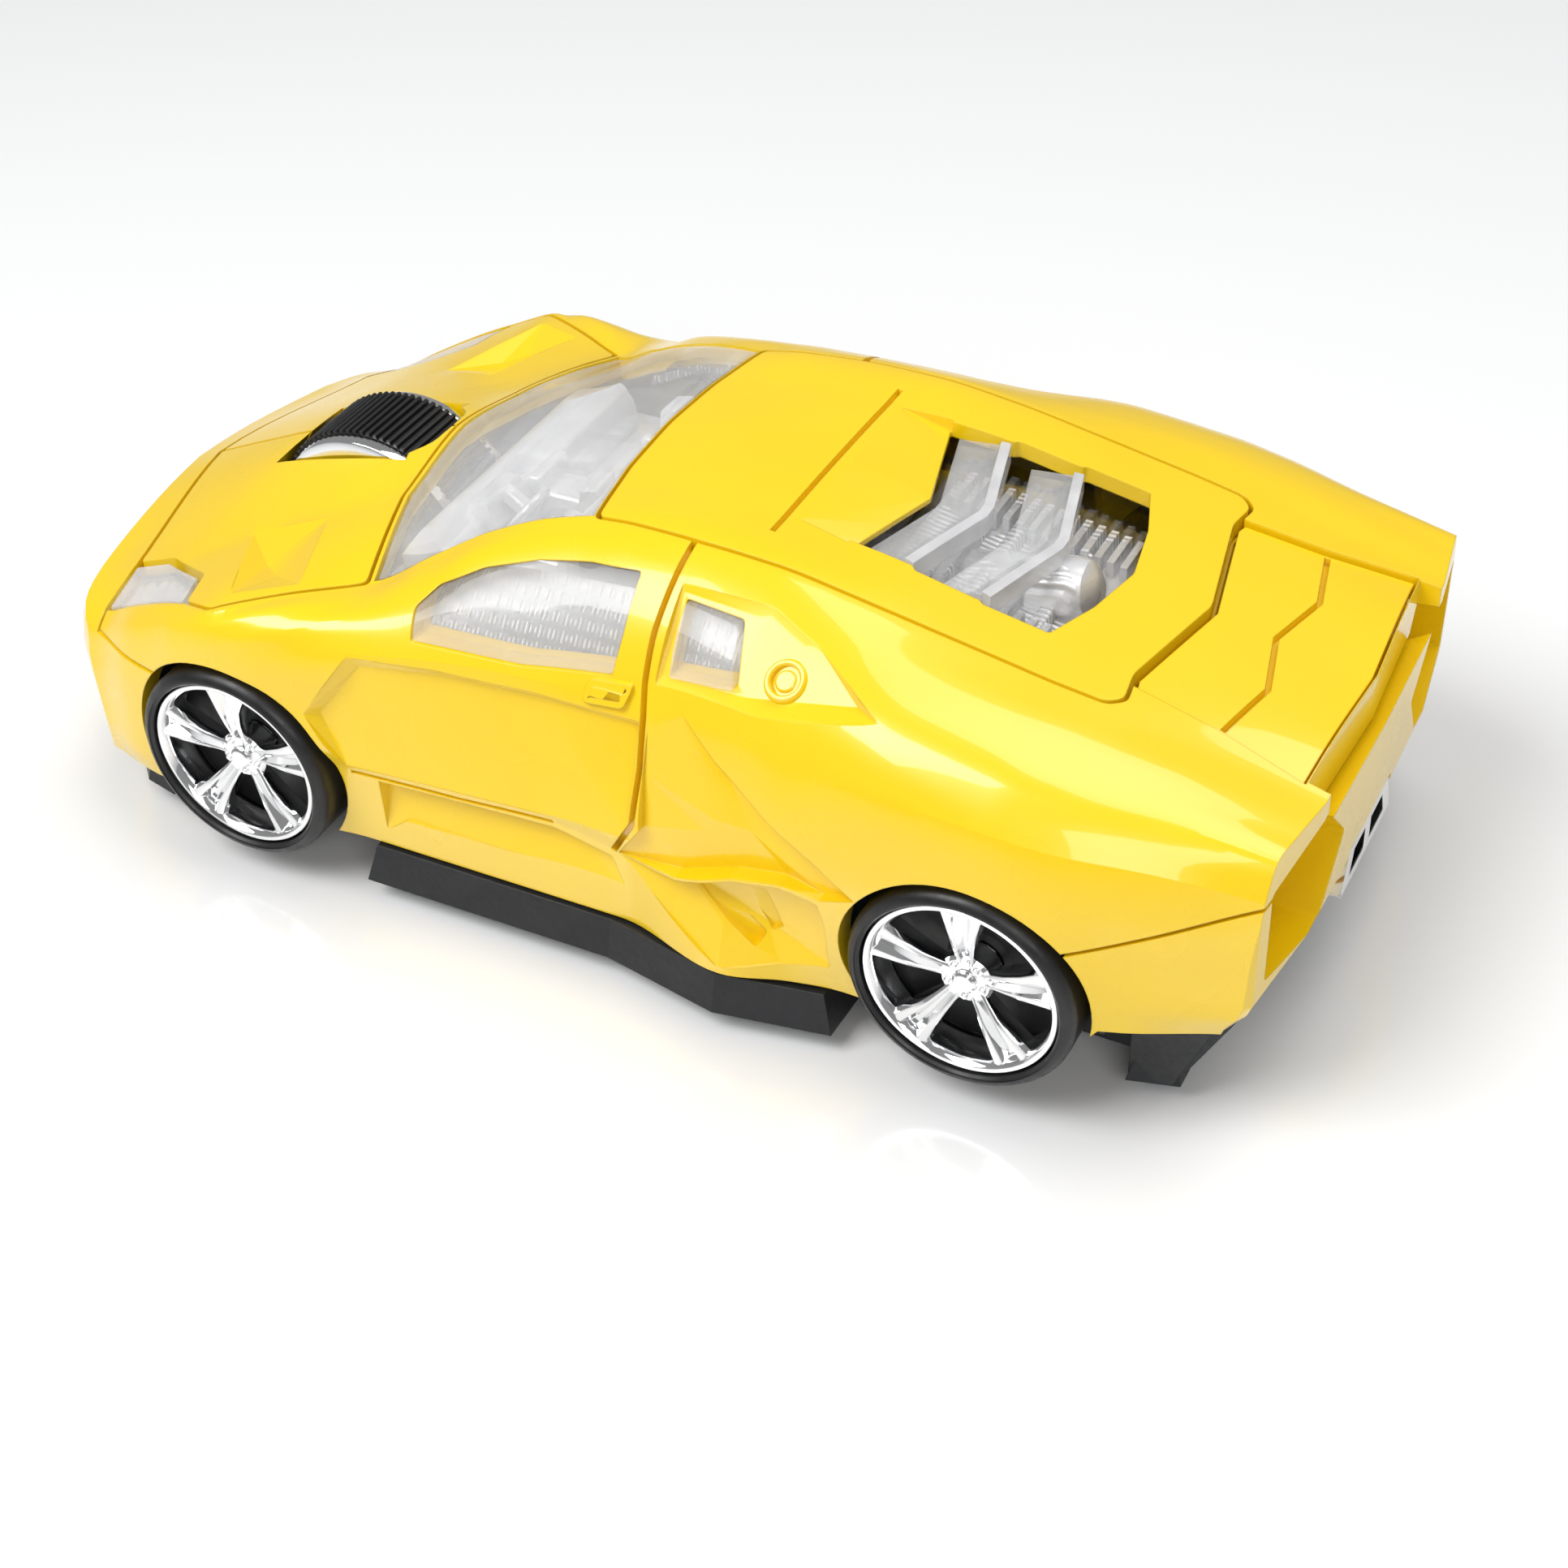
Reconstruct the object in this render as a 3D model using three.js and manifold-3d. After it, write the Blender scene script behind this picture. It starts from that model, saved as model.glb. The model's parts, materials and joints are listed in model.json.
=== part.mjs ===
// A car-shaped wireless computer mouse: a glossy sports-car body on a flat base, with split
// bonnet buttons, a scroll wheel, a lift-up engine lid over the battery and four free wheels.
// Millimetres, +Z up. The nose points to -Y and the car's left side is +X. Outlines are given
// from the middle of the wheelbase; the finished group stands with its box centre on the Z axis.

import * as THREE from 'three';
import Module from 'manifold-3d';
import { mergeVertices } from 'three/addons/utils/BufferGeometryUtils.js';

const wasm = await Module();
wasm.setup();

// ---------------------------------------------------------------- driving dimensions

const WHEELBASE = 65;
const NOSE_Y = -57;            // tip of the front bumper
const TAIL_Y = 54.6;           // tip of the tail
const WALL = 1.5;              // moulded body wall
const SEAM = 0.35;             // gap between neighbouring panels
const TOUCH_GAP = 0.3;         // gap between pieces that rest on each other
const LENS = 1.2;              // thickness of the clear windows

const SILL_Z = 5.4;            // lower edge of the painted body
const BASE_Z = 1.0;            // underside of the base
const BASE_FLOOR = 1.6;        // thickness of the base's floor
const BASE_TOP_Z = SILL_Z - TOUCH_GAP;
const FOOT_RECESS = 0.4;       // how far a glide foot sits in the base

const TYRE_R = 9.1;
const TYRE_W = 8;
const RIM_R = 7.8;
const TRACK_HALF = 28.5;       // centre plane of the car to the outer face of a tyre
const WHEEL_Z = 11.3;
const ARCH_GAP = 0.8;          // tyre to wheel-arch edge
const ARCH_R = TYRE_R + ARCH_GAP;
const WELL_X = TRACK_HALF - TYRE_W - 1.6;     // outer face of the wheel-well wall
const WELL_WALL = 1.6;
const WELL_OUT = TYRE_R + 1.8; // axle to the end of its well that faces the nose or tail
const WELL_IN = TYRE_R + 1.6;  // axle to the end of its well that faces the middle
const OUT_Y = WHEELBASE / 2 + WELL_OUT;
const IN_Y = WHEELBASE / 2 - WELL_IN;
const AXLE_R = 1.2;
const AXLE_CLEARANCE = 0.06;
const AXLE_FLANGE_R = 2.4;

const SCROLL_R = 10;
const SCROLL_Y = -33.2;
const SCROLL_Z = 19.2;
const SCROLL_W = 7;            // width of the ribbed rubber
const SCROLL_FLANGE = 1.1;     // chrome flange on each side of the rubber
const SCROLL_RIBS = 36;
const SCROLL_AXLE_R = 1.1;
const SCROLL_TRAVEL = 0.6;
const SLOT_HALF = 5;           // half width of the slot in the bonnet

const PCB_Z = 6.5;
const PCB_T = 1.2;
const PCB_HALF = 15;
const PCB_TOP = PCB_Z + PCB_T;

const BATTERY_R = 5.25;        // AAA cell
const BATTERY_L = 44.5;
const BATTERY_Z = 15.6;
const BATTERY_Y = 15.5;
const TRAY_WALL = 1.2;

const LID_T = 1.4;
const LID_HINGE_Y = -3.7;
const LEDGE = 1.6;             // width of the ledge that the lid rests on
const BUTTON_T = 1.5;

const SCREW_R = 1.1;
const SCREW_HEAD_R = 2;
const SCREW_X = 22.4;
const SCREW_Y = [4.8 - IN_Y, IN_Y - 4.8];
const SENSOR_Y = -15;

// ---------------------------------------------------------------- materials

function material(color, roughness, metalness, opacity = 1) {
  return new THREE.MeshStandardMaterial({
    color, roughness, metalness, opacity, transparent: opacity < 1,
  });
}

const PAINT = material(0xf7cf1c, 0.22, 0);
const BASE_BLACK = material(0x17181b, 0.6, 0);
const TYRE_BLACK = material(0x141416, 0.55, 0);
const CHROME = material(0xdddfe2, 0.08, 1);
const STEEL = material(0x9fa3a8, 0.3, 1);
const CLEAR = material(0xe8eaee, 0.05, 0, 0.35);
const SMOKED = material(0x8f9092, 0.08, 0, 0.45);
const GLIDE = material(0x3a3c40, 0.5, 0);
const BOARD = material(0x1f6b3a, 0.5, 0);
const CHIP = material(0x101010, 0.4, 0);
const CELL = material(0xb9772f, 0.3, 0.6);

// ---------------------------------------------------------------- solids

/** A closed three.js geometry as a solid that can be joined and cut. */
function solid(geometry) {
  const bare = geometry.index ? geometry.toNonIndexed() : geometry.clone();
  for (const name of Object.keys(bare.attributes)) {
    if (name !== 'position') bare.deleteAttribute(name);
  }
  const merged = mergeVertices(bare, 1e-4);
  const mesh = new wasm.Mesh({
    numProp: 3,
    vertProperties: Float32Array.from(merged.attributes.position.array),
    triVerts: Uint32Array.from(merged.index.array),
  });
  return new wasm.Manifold(mesh);
}

function join(...solids) {
  return solids.reduce((whole, piece) => whole.add(piece));
}

function cut(body, ...tools) {
  return tools.reduce((whole, tool) => whole.subtract(tool), body);
}

/** The solid as a three.js geometry. */
function geometryOf(body) {
  const mesh = body.getMesh();
  const geometry = new THREE.BufferGeometry();
  geometry.setAttribute('position', new THREE.BufferAttribute(Float32Array.from(mesh.vertProperties), 3));
  geometry.setIndex(new THREE.BufferAttribute(Uint32Array.from(mesh.triVerts), 1));
  return geometry;
}

/** A closed geometry from corner points and triangles, with its faces turned outwards. */
function closedGeometry(points, triangles) {
  let volume = 0;
  const cross = new THREE.Vector3();
  for (const [a, b, c] of triangles) {
    volume += points[a].dot(cross.crossVectors(points[b], points[c]));
  }
  const order = volume < 0 ? triangles.map(([a, b, c]) => [a, c, b]) : triangles;
  const geometry = new THREE.BufferGeometry().setFromPoints(points);
  geometry.setIndex(order.flat());
  return geometry;
}

/** A solid through closed rings with equal numbers of points; flat gives a ring point in its plane. */
function loft(rings, flat) {
  const count = rings[0].length;
  const points = rings.flat();
  const triangles = [];
  for (let r = 0; r + 1 < rings.length; r += 1) {
    for (let i = 0; i < count; i += 1) {
      const next = (i + 1) % count;
      const a = r * count + i;
      const b = r * count + next;
      triangles.push([a, b, b + count], [a, b + count, a + count]);
    }
  }
  for (const r of [0, rings.length - 1]) {
    const cap = THREE.ShapeUtils.triangulateShape(rings[r].map(flat), []);
    for (const [a, b, c] of cap) {
      const corners = [r * count + a, r * count + b, r * count + c];
      triangles.push(r === 0 ? corners : corners.reverse());
    }
  }
  return fixWinding(points, triangles, count);
}

/** Turns the caps to agree with the sides, whichever way the ring runs. */
function fixWinding(points, triangles, count) {
  const edges = new Set();
  const sides = triangles.filter(([a, b, c]) => Math.floor(a / count) !== Math.floor(c / count)
    || Math.floor(a / count) !== Math.floor(b / count));
  for (const [a, b, c] of sides) {
    edges.add(`${a},${b}`);
    edges.add(`${b},${c}`);
    edges.add(`${c},${a}`);
  }
  const last = Math.floor((points.length - 1) / count);
  const caps = { 0: [], [last]: [] };
  for (const triangle of triangles) {
    if (!sides.includes(triangle)) caps[Math.floor(triangle[0] / count)].push(triangle);
  }
  const turned = Object.values(caps).flatMap((cap) => {
    const clash = cap.some(([a, b, c]) => [`${a},${b}`, `${b},${c}`, `${c},${a}`].some((e) => edges.has(e)));
    return clash ? cap.map(([a, b, c]) => [a, c, b]) : cap;
  });
  return solid(closedGeometry(points, [...sides, ...turned]));
}

/** An outline in the (y, z) plane, extruded across the car. */
function acrossX(outline, from, to) {
  const shape = new THREE.Shape(outline.map(([y, z]) => new THREE.Vector2(y, z)));
  const geometry = new THREE.ExtrudeGeometry(shape, { depth: to - from, bevelEnabled: false });
  geometry.translate(0, 0, from);
  geometry.applyMatrix4(new THREE.Matrix4().set(0, 0, 1, 0, 1, 0, 0, 0, 0, 1, 0, 0, 0, 0, 0, 1));
  return solid(geometry);
}

/** An outline in the (x, z) plane, extruded along the car. */
function alongY(outline, from, to) {
  const shape = new THREE.Shape(outline.map(([x, z]) => new THREE.Vector2(x, z)));
  const geometry = new THREE.ExtrudeGeometry(shape, { depth: to - from, bevelEnabled: false });
  geometry.rotateX(Math.PI / 2);
  geometry.translate(0, to, 0);
  return solid(geometry);
}

/** An outline in the (x, y) plane, extruded upwards. */
function upZ(outline, from, to) {
  const shape = new THREE.Shape(outline.map(([x, y]) => new THREE.Vector2(x, y)));
  const geometry = new THREE.ExtrudeGeometry(shape, { depth: to - from, bevelEnabled: false });
  geometry.translate(0, 0, from);
  return solid(geometry);
}

function box(x0, x1, y0, y1, z0, z1) {
  const geometry = new THREE.BoxGeometry(x1 - x0, y1 - y0, z1 - z0);
  geometry.translate((x0 + x1) / 2, (y0 + y1) / 2, (z0 + z1) / 2);
  return solid(geometry);
}

/** A cylinder along X. */
function cylinderX(radius, x0, x1, y, z, segments = 16) {
  const geometry = new THREE.CylinderGeometry(radius, radius, x1 - x0, segments);
  geometry.rotateZ(-Math.PI / 2);
  geometry.translate((x0 + x1) / 2, y, z);
  return solid(geometry);
}

/** A cylinder along Y. */
function cylinderY(radius, y0, y1, x, z, segments = 16) {
  const geometry = new THREE.CylinderGeometry(radius, radius, y1 - y0, segments);
  geometry.translate(x, (y0 + y1) / 2, z);
  return solid(geometry);
}

/** A cylinder along Z. */
function cylinderZ(radius, z0, z1, x, y, segments = 16) {
  const geometry = new THREE.CylinderGeometry(radius, radius, z1 - z0, segments);
  geometry.rotateX(Math.PI / 2);
  geometry.translate(x, y, (z0 + z1) / 2);
  return solid(geometry);
}

/** A profile of [radius, x] points turned about the X axis. */
function turnedX(profile, segments = 28) {
  const geometry = new THREE.LatheGeometry(profile.map(([r, x]) => new THREE.Vector2(r, x)), segments);
  geometry.rotateZ(-Math.PI / 2);
  return solid(geometry);
}

/** The same geometry on the other side of the car. */
function mirrored(geometry) {
  const copy = geometry.clone();
  copy.scale(-1, 1, 1);
  const index = Array.from(copy.index.array);
  for (let i = 0; i < index.length; i += 3) {
    [index[i], index[i + 1]] = [index[i + 1], index[i]];
  }
  copy.setIndex(index);
  return copy;
}

function otherSide(body) {
  return solid(mirrored(geometryOf(body)));
}

function bothSides(body) {
  return join(body, otherSide(body));
}

/** A half outline (x >= 0) completed with its mirror image. */
function symmetric(half) {
  const back = half.filter(([x]) => x > 0).map(([x, y]) => [-x, y]).reverse();
  const whole = [...half, ...back];
  return whole.filter(([x, y], i) => {
    const before = whole[(i + whole.length - 1) % whole.length];
    const after = whole[(i + 1) % whole.length];
    return Math.abs((x - before[0]) * (after[1] - y) - (y - before[1]) * (after[0] - x)) > 1e-6;
  });
}

/** Moves every point of a closed outline by distance along its outward normal. */
function offset(outline, distance) {
  const area = THREE.ShapeUtils.area(outline.map(([x, y]) => new THREE.Vector2(x, y)));
  const way = area > 0 ? distance : -distance;
  return outline.map((point, i) => {
    const before = outline[(i + outline.length - 1) % outline.length];
    const after = outline[(i + 1) % outline.length];
    const a = new THREE.Vector2(point[0] - before[0], point[1] - before[1]).normalize();
    const b = new THREE.Vector2(after[0] - point[0], after[1] - point[1]).normalize();
    const normal = new THREE.Vector2(a.y + b.y, -a.x - b.x).normalize();
    const reach = way / Math.max(normal.dot(new THREE.Vector2(a.y, -a.x)), 0.5);
    return [point[0] + normal.x * reach, point[1] + normal.y * reach];
  });
}

// ---------------------------------------------------------------- body lines

/** A smooth value through [position, value] knots that never overshoots them. */
function smooth(knots, at) {
  const last = knots.length - 1;
  if (at <= knots[0][0]) return knots[0][1];
  if (at >= knots[last][0]) return knots[last][1];
  const i = knots.findIndex(([p], k) => k < last && at < knots[k + 1][0] && at >= p);
  const slope = (k) => (knots[k + 1][1] - knots[k][1]) / (knots[k + 1][0] - knots[k][0]);
  const tangent = (k) => {
    if (k === 0) return slope(0);
    if (k === last) return slope(last - 1);
    const [a, b] = [slope(k - 1), slope(k)];
    return a * b <= 0 ? 0 : (2 * a * b) / (a + b);
  };
  const span = knots[i + 1][0] - knots[i][0];
  const t = (at - knots[i][0]) / span;
  const h = (1 - t) * (1 - t);
  return (1 + 2 * t) * h * knots[i][1] + t * h * span * tangent(i)
    + t * t * (3 - 2 * t) * knots[i + 1][1] - t * t * (1 - t) * span * tangent(i + 1);
}

/** Body lines from the crown down to the sill, each a list of [y, x, z]. */
const CENTRE = [
  [-58, 0, 18.4], [-55, 0, 19.7], [-47, 0, 23.2], [-40.9, 0, 25.7], [-33, 0, 28], [-25.5, 0, 29.8],
  [-20, 0, 31.5], [-14, 0, 33.2], [-9, 0, 34.3], [-4, 0, 34.9], [1, 0, 35.3], [6, 0, 35.4],
  [12, 0, 35.1], [18, 0, 34.3], [26, 0, 32.7], [34, 0, 31], [42, 0, 29.4], [58, 0, 26.2],
];
const CROWN = [
  [-58, 15.5, 17.4], [-52, 17, 18.8], [-47.5, 17.8, 20.6], [-43.6, 17.6, 22.2], [-38, 15.2, 24.4],
  [-33, 12.9, 26.1], [-25.5, 9.4, 28.3], [-20, 9, 30.4], [-14, 8.5, 32.5], [-9, 8.2, 33.8],
  [-4, 8, 34.7], [6, 8.3, 35.3], [18, 8.8, 34.2], [26, 9.2, 32.6], [42, 9.8, 29.3], [58, 9.5, 26.2],
];
const SHOULDER_SEAM = [
  [-58, 19.5, 16.3], [-52.5, 21, 17.7], [-48.5, 22, 18.6], [-44, 23.5, 20.9], [-40, 24.6, 22.9],
  [-36.6, 25.4, 24.3], [-33, 26.6, 25.5], [-30, 25, 26.1], [-27, 22.9, 26.5], [-22, 19.8, 26.9],
  [-17, 17.9, 29.6], [-12.5, 16.2, 32], [-8, 14.9, 33.6], [-3.7, 14.1, 34.4], [0, 14.7, 34.8],
  [5.4, 15.3, 34.9], [12, 15.5, 34.7], [18, 15.6, 33.9], [26, 15.7, 32.4], [34, 15.7, 30.8],
  [38, 15.6, 30], [42, 15.1, 29.1], [46, 14.8, 28.2], [54.5, 14.5, 26.3], [58, 14.4, 25.6],
];
const RAIL = [
  [-58, 21.5, 14.8], [-52.5, 22.6, 16.2], [-48.5, 23.6, 17.2], [-44, 25, 19.7], [-40, 26, 21.6],
  [-36.6, 26.8, 23.3], [-33, 27.4, 24.6], [-30, 26.8, 25.8], [-27, 25.6, 26.4], [-22, 22.6, 26.9],
  [-17, 20.7, 28.8], [-12.5, 18.6, 31.5], [-8, 17.2, 33], [-3.7, 16.6, 33.8], [0, 16.9, 34],
  [5.4, 17.4, 33.9], [12, 17.9, 33.6], [18, 18.6, 32.9], [26, 19.6, 31.8], [34, 20.2, 30.5],
  [38, 20.2, 29.7], [46, 19.5, 28.1], [54.5, 19, 26.2], [58, 19, 25.5],
];
const WINDOW_MID = [
  [-58, 22.3, 13], [-52.5, 23.4, 14.6], [-48.5, 24.2, 15.6], [-44, 25.8, 18], [-40, 26.8, 20],
  [-36.6, 27.5, 22], [-33, 27.9, 23.4], [-30, 27.5, 24.8], [-27, 26.6, 25.7], [-22, 24.6, 26.5],
  [-17, 23.4, 27.4], [-12.5, 21.6, 29.3], [-8, 20.6, 30.5], [-3.7, 20.2, 31], [0, 20.3, 31.2],
  [5.4, 20.9, 31], [12, 22, 30.8], [18, 23.2, 30.4], [26, 24.6, 29.9], [34, 24.6, 29],
  [38, 24.3, 28.4], [46, 22.6, 27.4], [54.5, 21.8, 25.9], [58, 21.6, 25.2],
];
const BELT = [
  [-58, 22.8, 11], [-52.5, 23.9, 12.8], [-48.5, 24.7, 13.8], [-44, 26.4, 16], [-40, 27.3, 18],
  [-36.6, 27.9, 20.2], [-33, 28.1, 21.8], [-30, 28, 22.8], [-27, 27.4, 23.6], [-22, 26.2, 24.4],
  [-17, 25.4, 25], [-12.5, 24.8, 25.4], [-8, 24.4, 25.7], [0, 24, 25.8], [5.4, 24.1, 25.7],
  [12, 24.9, 26], [18, 26, 26.5], [26, 27.2, 26.5], [34, 27.3, 26.1], [38, 26.9, 25.6],
  [46, 25, 24.7], [54.5, 23.1, 23.2], [58, 22.8, 22.8],
];
const FLANK = [
  [-58, 23, 9], [-52.5, 24.1, 10.4], [-48.5, 25, 11], [-44, 26.7, 13], [-40, 27.5, 15],
  [-36.6, 28.1, 17], [-33, 28.3, 18.4], [-27, 27.8, 18.8], [-22, 26.9, 18.9], [-17, 26.2, 19.2],
  [-12.5, 25.9, 19.8], [-3.7, 25.6, 20.6], [5.4, 25.7, 21], [12, 26.3, 21.5], [18, 27.6, 21.8],
  [26, 28.2, 22], [34, 28.3, 21.7], [38, 28, 21.4], [46, 26, 20.7], [54.5, 23.5, 19.5], [58, 23, 19],
];
const WIDEST = [
  [-58, 23, 7.6], [-48.5, 25.2, 8.8], [-44, 26.8, 10], [-40, 27.5, 12], [-33, 28.3, 15],
  [-27, 28, 15.5], [-22, 27.3, 15.6], [-12.5, 26.8, 16], [-3.7, 26.8, 16.3], [5.4, 27.2, 16.5],
  [12, 27.8, 16.6], [18, 28, 17.4], [26, 28.4, 18], [34, 28.4, 18], [38, 28.1, 17.8],
  [46, 26.2, 17], [54.5, 23.7, 16], [58, 23.2, 16],
];
const DOOR_FOOT = [
  [-58, 22.9, 6.6], [-48.5, 25, 7.2], [-44, 26.7, 8], [-36.6, 27.6, 9.6], [-33, 27.9, 12],
  [-27, 27.4, 13.2], [-22, 26.6, 13.3], [-12, 26.3, 13.5], [-3, 26.2, 13.9], [3, 26.4, 13],
  [8, 27.4, 12.2], [12.5, 28.4, 11.6], [18, 27.6, 12.6], [26, 27.9, 13], [34, 28.1, 13],
  [38, 27.8, 13], [46, 26.1, 12.8], [54.5, 23.6, 12.8], [58, 23, 12.8],
];
const SILL = [
  [-58, 22.5, 5.5], [-49, 24.5, 5.5], [-42, 26.5, 5.8], [-33, 27, 5.6], [-21, 25.6, 5.4],
  [2.2, 25.6, 5.4], [12.5, 28.3, 5.6], [18, 26.8, 5.6], [22.2, 26.2, 5.6], [33, 27, 6],
  [41, 26.9, 8], [43, 26.6, 10.3], [51, 23.4, 10.4], [58, 21, 10.4],
];
const LINES = [CENTRE, CROWN, SHOULDER_SEAM, RAIL, WINDOW_MID, BELT, FLANK, WIDEST, DOOR_FOOT, SILL];
const STATIONS = [
  -58, -52, -47, -43.6, -40, -36.6, -33, -30, -26, -22, -17, -12.5, -8, -3.7, 5.4, 12.5, 18, 26,
  34, 38, 46, 54.5, 58,
];

/** Where a body line is at a distance y along the car. */
function onLine(line, y) {
  const x = smooth(line.map(([at, value]) => [at, value]), y);
  const z = smooth(line.map(([at, , value]) => [at, value]), y);
  return [x, z];
}

/** The body's section at y, inset by depth, from the left sill over the roof to the right sill. */
function section(y, depth) {
  const half = LINES.map((line) => onLine(line, y));
  const left = half.map(([x, z], i) => {
    const before = i === 0 ? [-half[1][0], half[1][1]] : half[i - 1];
    const after = i === half.length - 1 ? [x, z - 1] : half[i + 1];
    const along = new THREE.Vector2(after[0] - before[0], after[1] - before[1]).normalize();
    return [Math.max(x + along.y * depth, 0), z - along.x * depth];
  });
  const foot = depth > 0 ? -1 : 0;
  left[left.length - 1][1] += foot * 5;
  const right = left.slice(1).map(([x, z]) => [-x, z]);
  return [...left.slice().reverse(), ...right];
}

function bodyForm(depth) {
  const rings = STATIONS.map((y) => section(y, depth).map(([x, z]) => new THREE.Vector3(x, y, z)));
  return loft(rings, (p) => new THREE.Vector2(p.x, p.z));
}

/** Plan outlines of the whole car at several heights: they shape the nose and the tail faces. */
const PLAN_LEVELS = [
  {
    z: 0,
    nose: [[0, 0.9], [8, 1.6], [17.5, 3.5], [20.8, 5], [24.6, 8.2]],
    tail: [[0, 2.4], [10, 2.6], [23.6, 4.2]],
  },
  {
    z: 10.2,
    nose: [[0, 0.3], [8, 1], [18, 3], [21.2, 4.4], [24.8, 8]],
    tail: [[0, 2.2], [10, 2.4], [23.6, 3.8]],
  },
  {
    z: 14,
    nose: [[0, 0], [8, 0.8], [18, 2.8], [21.4, 4.3], [25, 8.2]],
    tail: [[0, 0.3], [14.6, 0.5], [23.6, 1.6]],
  },
  {
    z: 26,
    nose: [[0, 3.6], [8, 4.7], [17.8, 6.6], [20.6, 8], [24, 13]],
    tail: [[0, 0], [14.6, 0.2], [23.6, 1.5]],
  },
  {
    z: 40,
    nose: [[0, 3.6], [8, 4.7], [17.8, 6.6], [20.6, 8], [24, 13]],
    tail: [[0, 0], [14.6, 0.2], [23.6, 1.5]],
  },
];
const PLAN_HALF_WIDTH = 32;

/** The volume between the nose and tail faces, set back by depth. */
function endFaces(depth) {
  const rings = PLAN_LEVELS.map(({ z, nose, tail }) => {
    const half = [
      ...nose.map(([x, back]) => [x, NOSE_Y + back + depth]),
      [PLAN_HALF_WIDTH, NOSE_Y + nose[4][1] + 8 + depth],
      [PLAN_HALF_WIDTH, TAIL_Y - tail[2][1] - 6 - depth],
      ...tail.slice().reverse().map(([x, back]) => [x, TAIL_Y - back - depth]),
    ];
    return symmetric(half).map(([x, y]) => new THREE.Vector3(x, y, z));
  });
  return loft(rings, (p) => new THREE.Vector2(p.x, p.y));
}

const OUTER = bodyForm(0).intersect(endFaces(0));
const INNER = bodyForm(WALL).intersect(endFaces(WALL));
const SKIN = OUTER.subtract(INNER);

/** Every point of the body deeper than depth below its surface. */
const forms = new Map();
function below(depth) {
  if (!forms.has(depth)) forms.set(depth, bodyForm(depth).intersect(endFaces(depth)));
  return forms.get(depth);
}

/** The layer of the body between two depths. */
function layer(from, to) {
  return (from > 0 ? below(from) : OUTER).subtract(below(to));
}

/** A thin closed outline that follows a path at half a width on each side. */
function stroke(path, width) {
  const sides = [1, -1].map((side) => path.map(([x, y], i) => {
    const before = path[Math.max(i - 1, 0)];
    const after = path[Math.min(i + 1, path.length - 1)];
    const normal = new THREE.Vector2(before[1] - after[1], after[0] - before[0]).normalize();
    return [x + normal.x * side * width / 2, y + normal.y * side * width / 2];
  }));
  return [...sides[0], ...sides[1].reverse()];
}

const GROOVE_W = 0.5;
const GROOVE_DEPTH = 0.6;

function sideGroove(path) {
  return bothSides(acrossX(stroke(path, GROOVE_W), 10, 40).subtract(below(GROOVE_DEPTH)));
}

function topGroove(path, depth) {
  return upZ(stroke(path, GROOVE_W), 20, 45).subtract(below(depth));
}

// ---------------------------------------------------------------- panel outlines

/** Plan outlines, [x, y]; half outlines are completed by symmetric(). */
const HOOD = symmetric([
  [0, -52.8], [17.4, -48.7], [17.6, -44.4], [20.8, -38.5], [24.9, -37.1], [26.4, -33.3],
  [19.8, -22], [9.4, -25.3], [0, -25.9],
]);
const HEADLIGHT = [[17.4, -48.7], [17.6, -44.4], [20.8, -38.5], [24.9, -37.1], [22, -48.7]];
const WINDSCREEN = symmetric([
  [0, -25.5], [9.4, -24.9], [19.4, -21.8], [17.7, -17], [16, -12.5], [14.7, -8],
  [13.8, -4.1], [7, -5.1], [0, -5.4],
]);
const LID_REAR = [[14.8, 34], [14.6, 37.9], [13.6, 38.9], [10.7, 38.5], [0, 40.6]];
const LID = symmetric([[0, -5], [7, -4.7], [13.8, LID_HINGE_Y], [14.5, 6], [14.9, 20], ...LID_REAR]);
const DECK = symmetric([[0, 41.1], [10.7, 39], [11.6, 39.2], [12.2, 45.8], [13.5, 52.3], [0, 53.1]]);
const LID_HOLE = symmetric([[0, -3.2], [12.2, -2.2], [12.9, 6], [13.3, 20], [13.1, 36.8], [0, 38.7]]);
const DECK_HOLE = symmetric([[0, 42.9], [9.6, 41], [10.6, 45.8], [11.6, 50.6], [0, 51.4]]);
const ENGINE_WINDOW = symmetric([[0, 17.4], [4.6, 17], [9.4, 15.2], [10.2, 31.8], [5.6, 33.4], [0, 34.4]]);
const SLOT_REACH = SCROLL_R - 2;
const SCROLL_SLOT = symmetric([
  [0, SCROLL_Y - SLOT_REACH], [3.2, SCROLL_Y - SLOT_REACH + 0.6], [SLOT_HALF, SCROLL_Y - SLOT_REACH + 3],
  [SLOT_HALF, SCROLL_Y + SLOT_REACH - 4.2], [2.6, SCROLL_Y + SLOT_REACH - 1.6],
  [0, SCROLL_Y + SLOT_REACH - 1.3],
]);

/** Side outlines, [y, z]. */
const DOOR_WINDOW = [
  [-15.2, 26.2], [-15.7, 28.2], [-14.2, 29.7], [-10.8, 31.3], [-6.4, 32.5], [-2, 33.2], [2.3, 33.5],
  [2.4, 30.1], [2.2, 27.3], [-5.6, 26.4],
];
const QUARTER_WINDOW = [[6.5, 32.7], [11.5, 32.4], [12.6, 29], [6.8, 28.2]];
const REFLECTOR = [[-17, 25.2], [-17, 29], [-12.5, 31.2], [14.2, 31.2], [14.2, 27], [2, 25.6]];
const FRONT_BUMPER = [
  [-60, 45], [-48.7, 45], [-48.7, 17.2], [-39.5, 18.1], [-37.5, 12], [-37.5, 0], [-60, 0],
];
const REAR_BUMPER = [[37.5, 12], [39.9, 17.3], [53.2, 22.9], [60, 25.8], [60, 0], [37.5, 0]];
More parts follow.
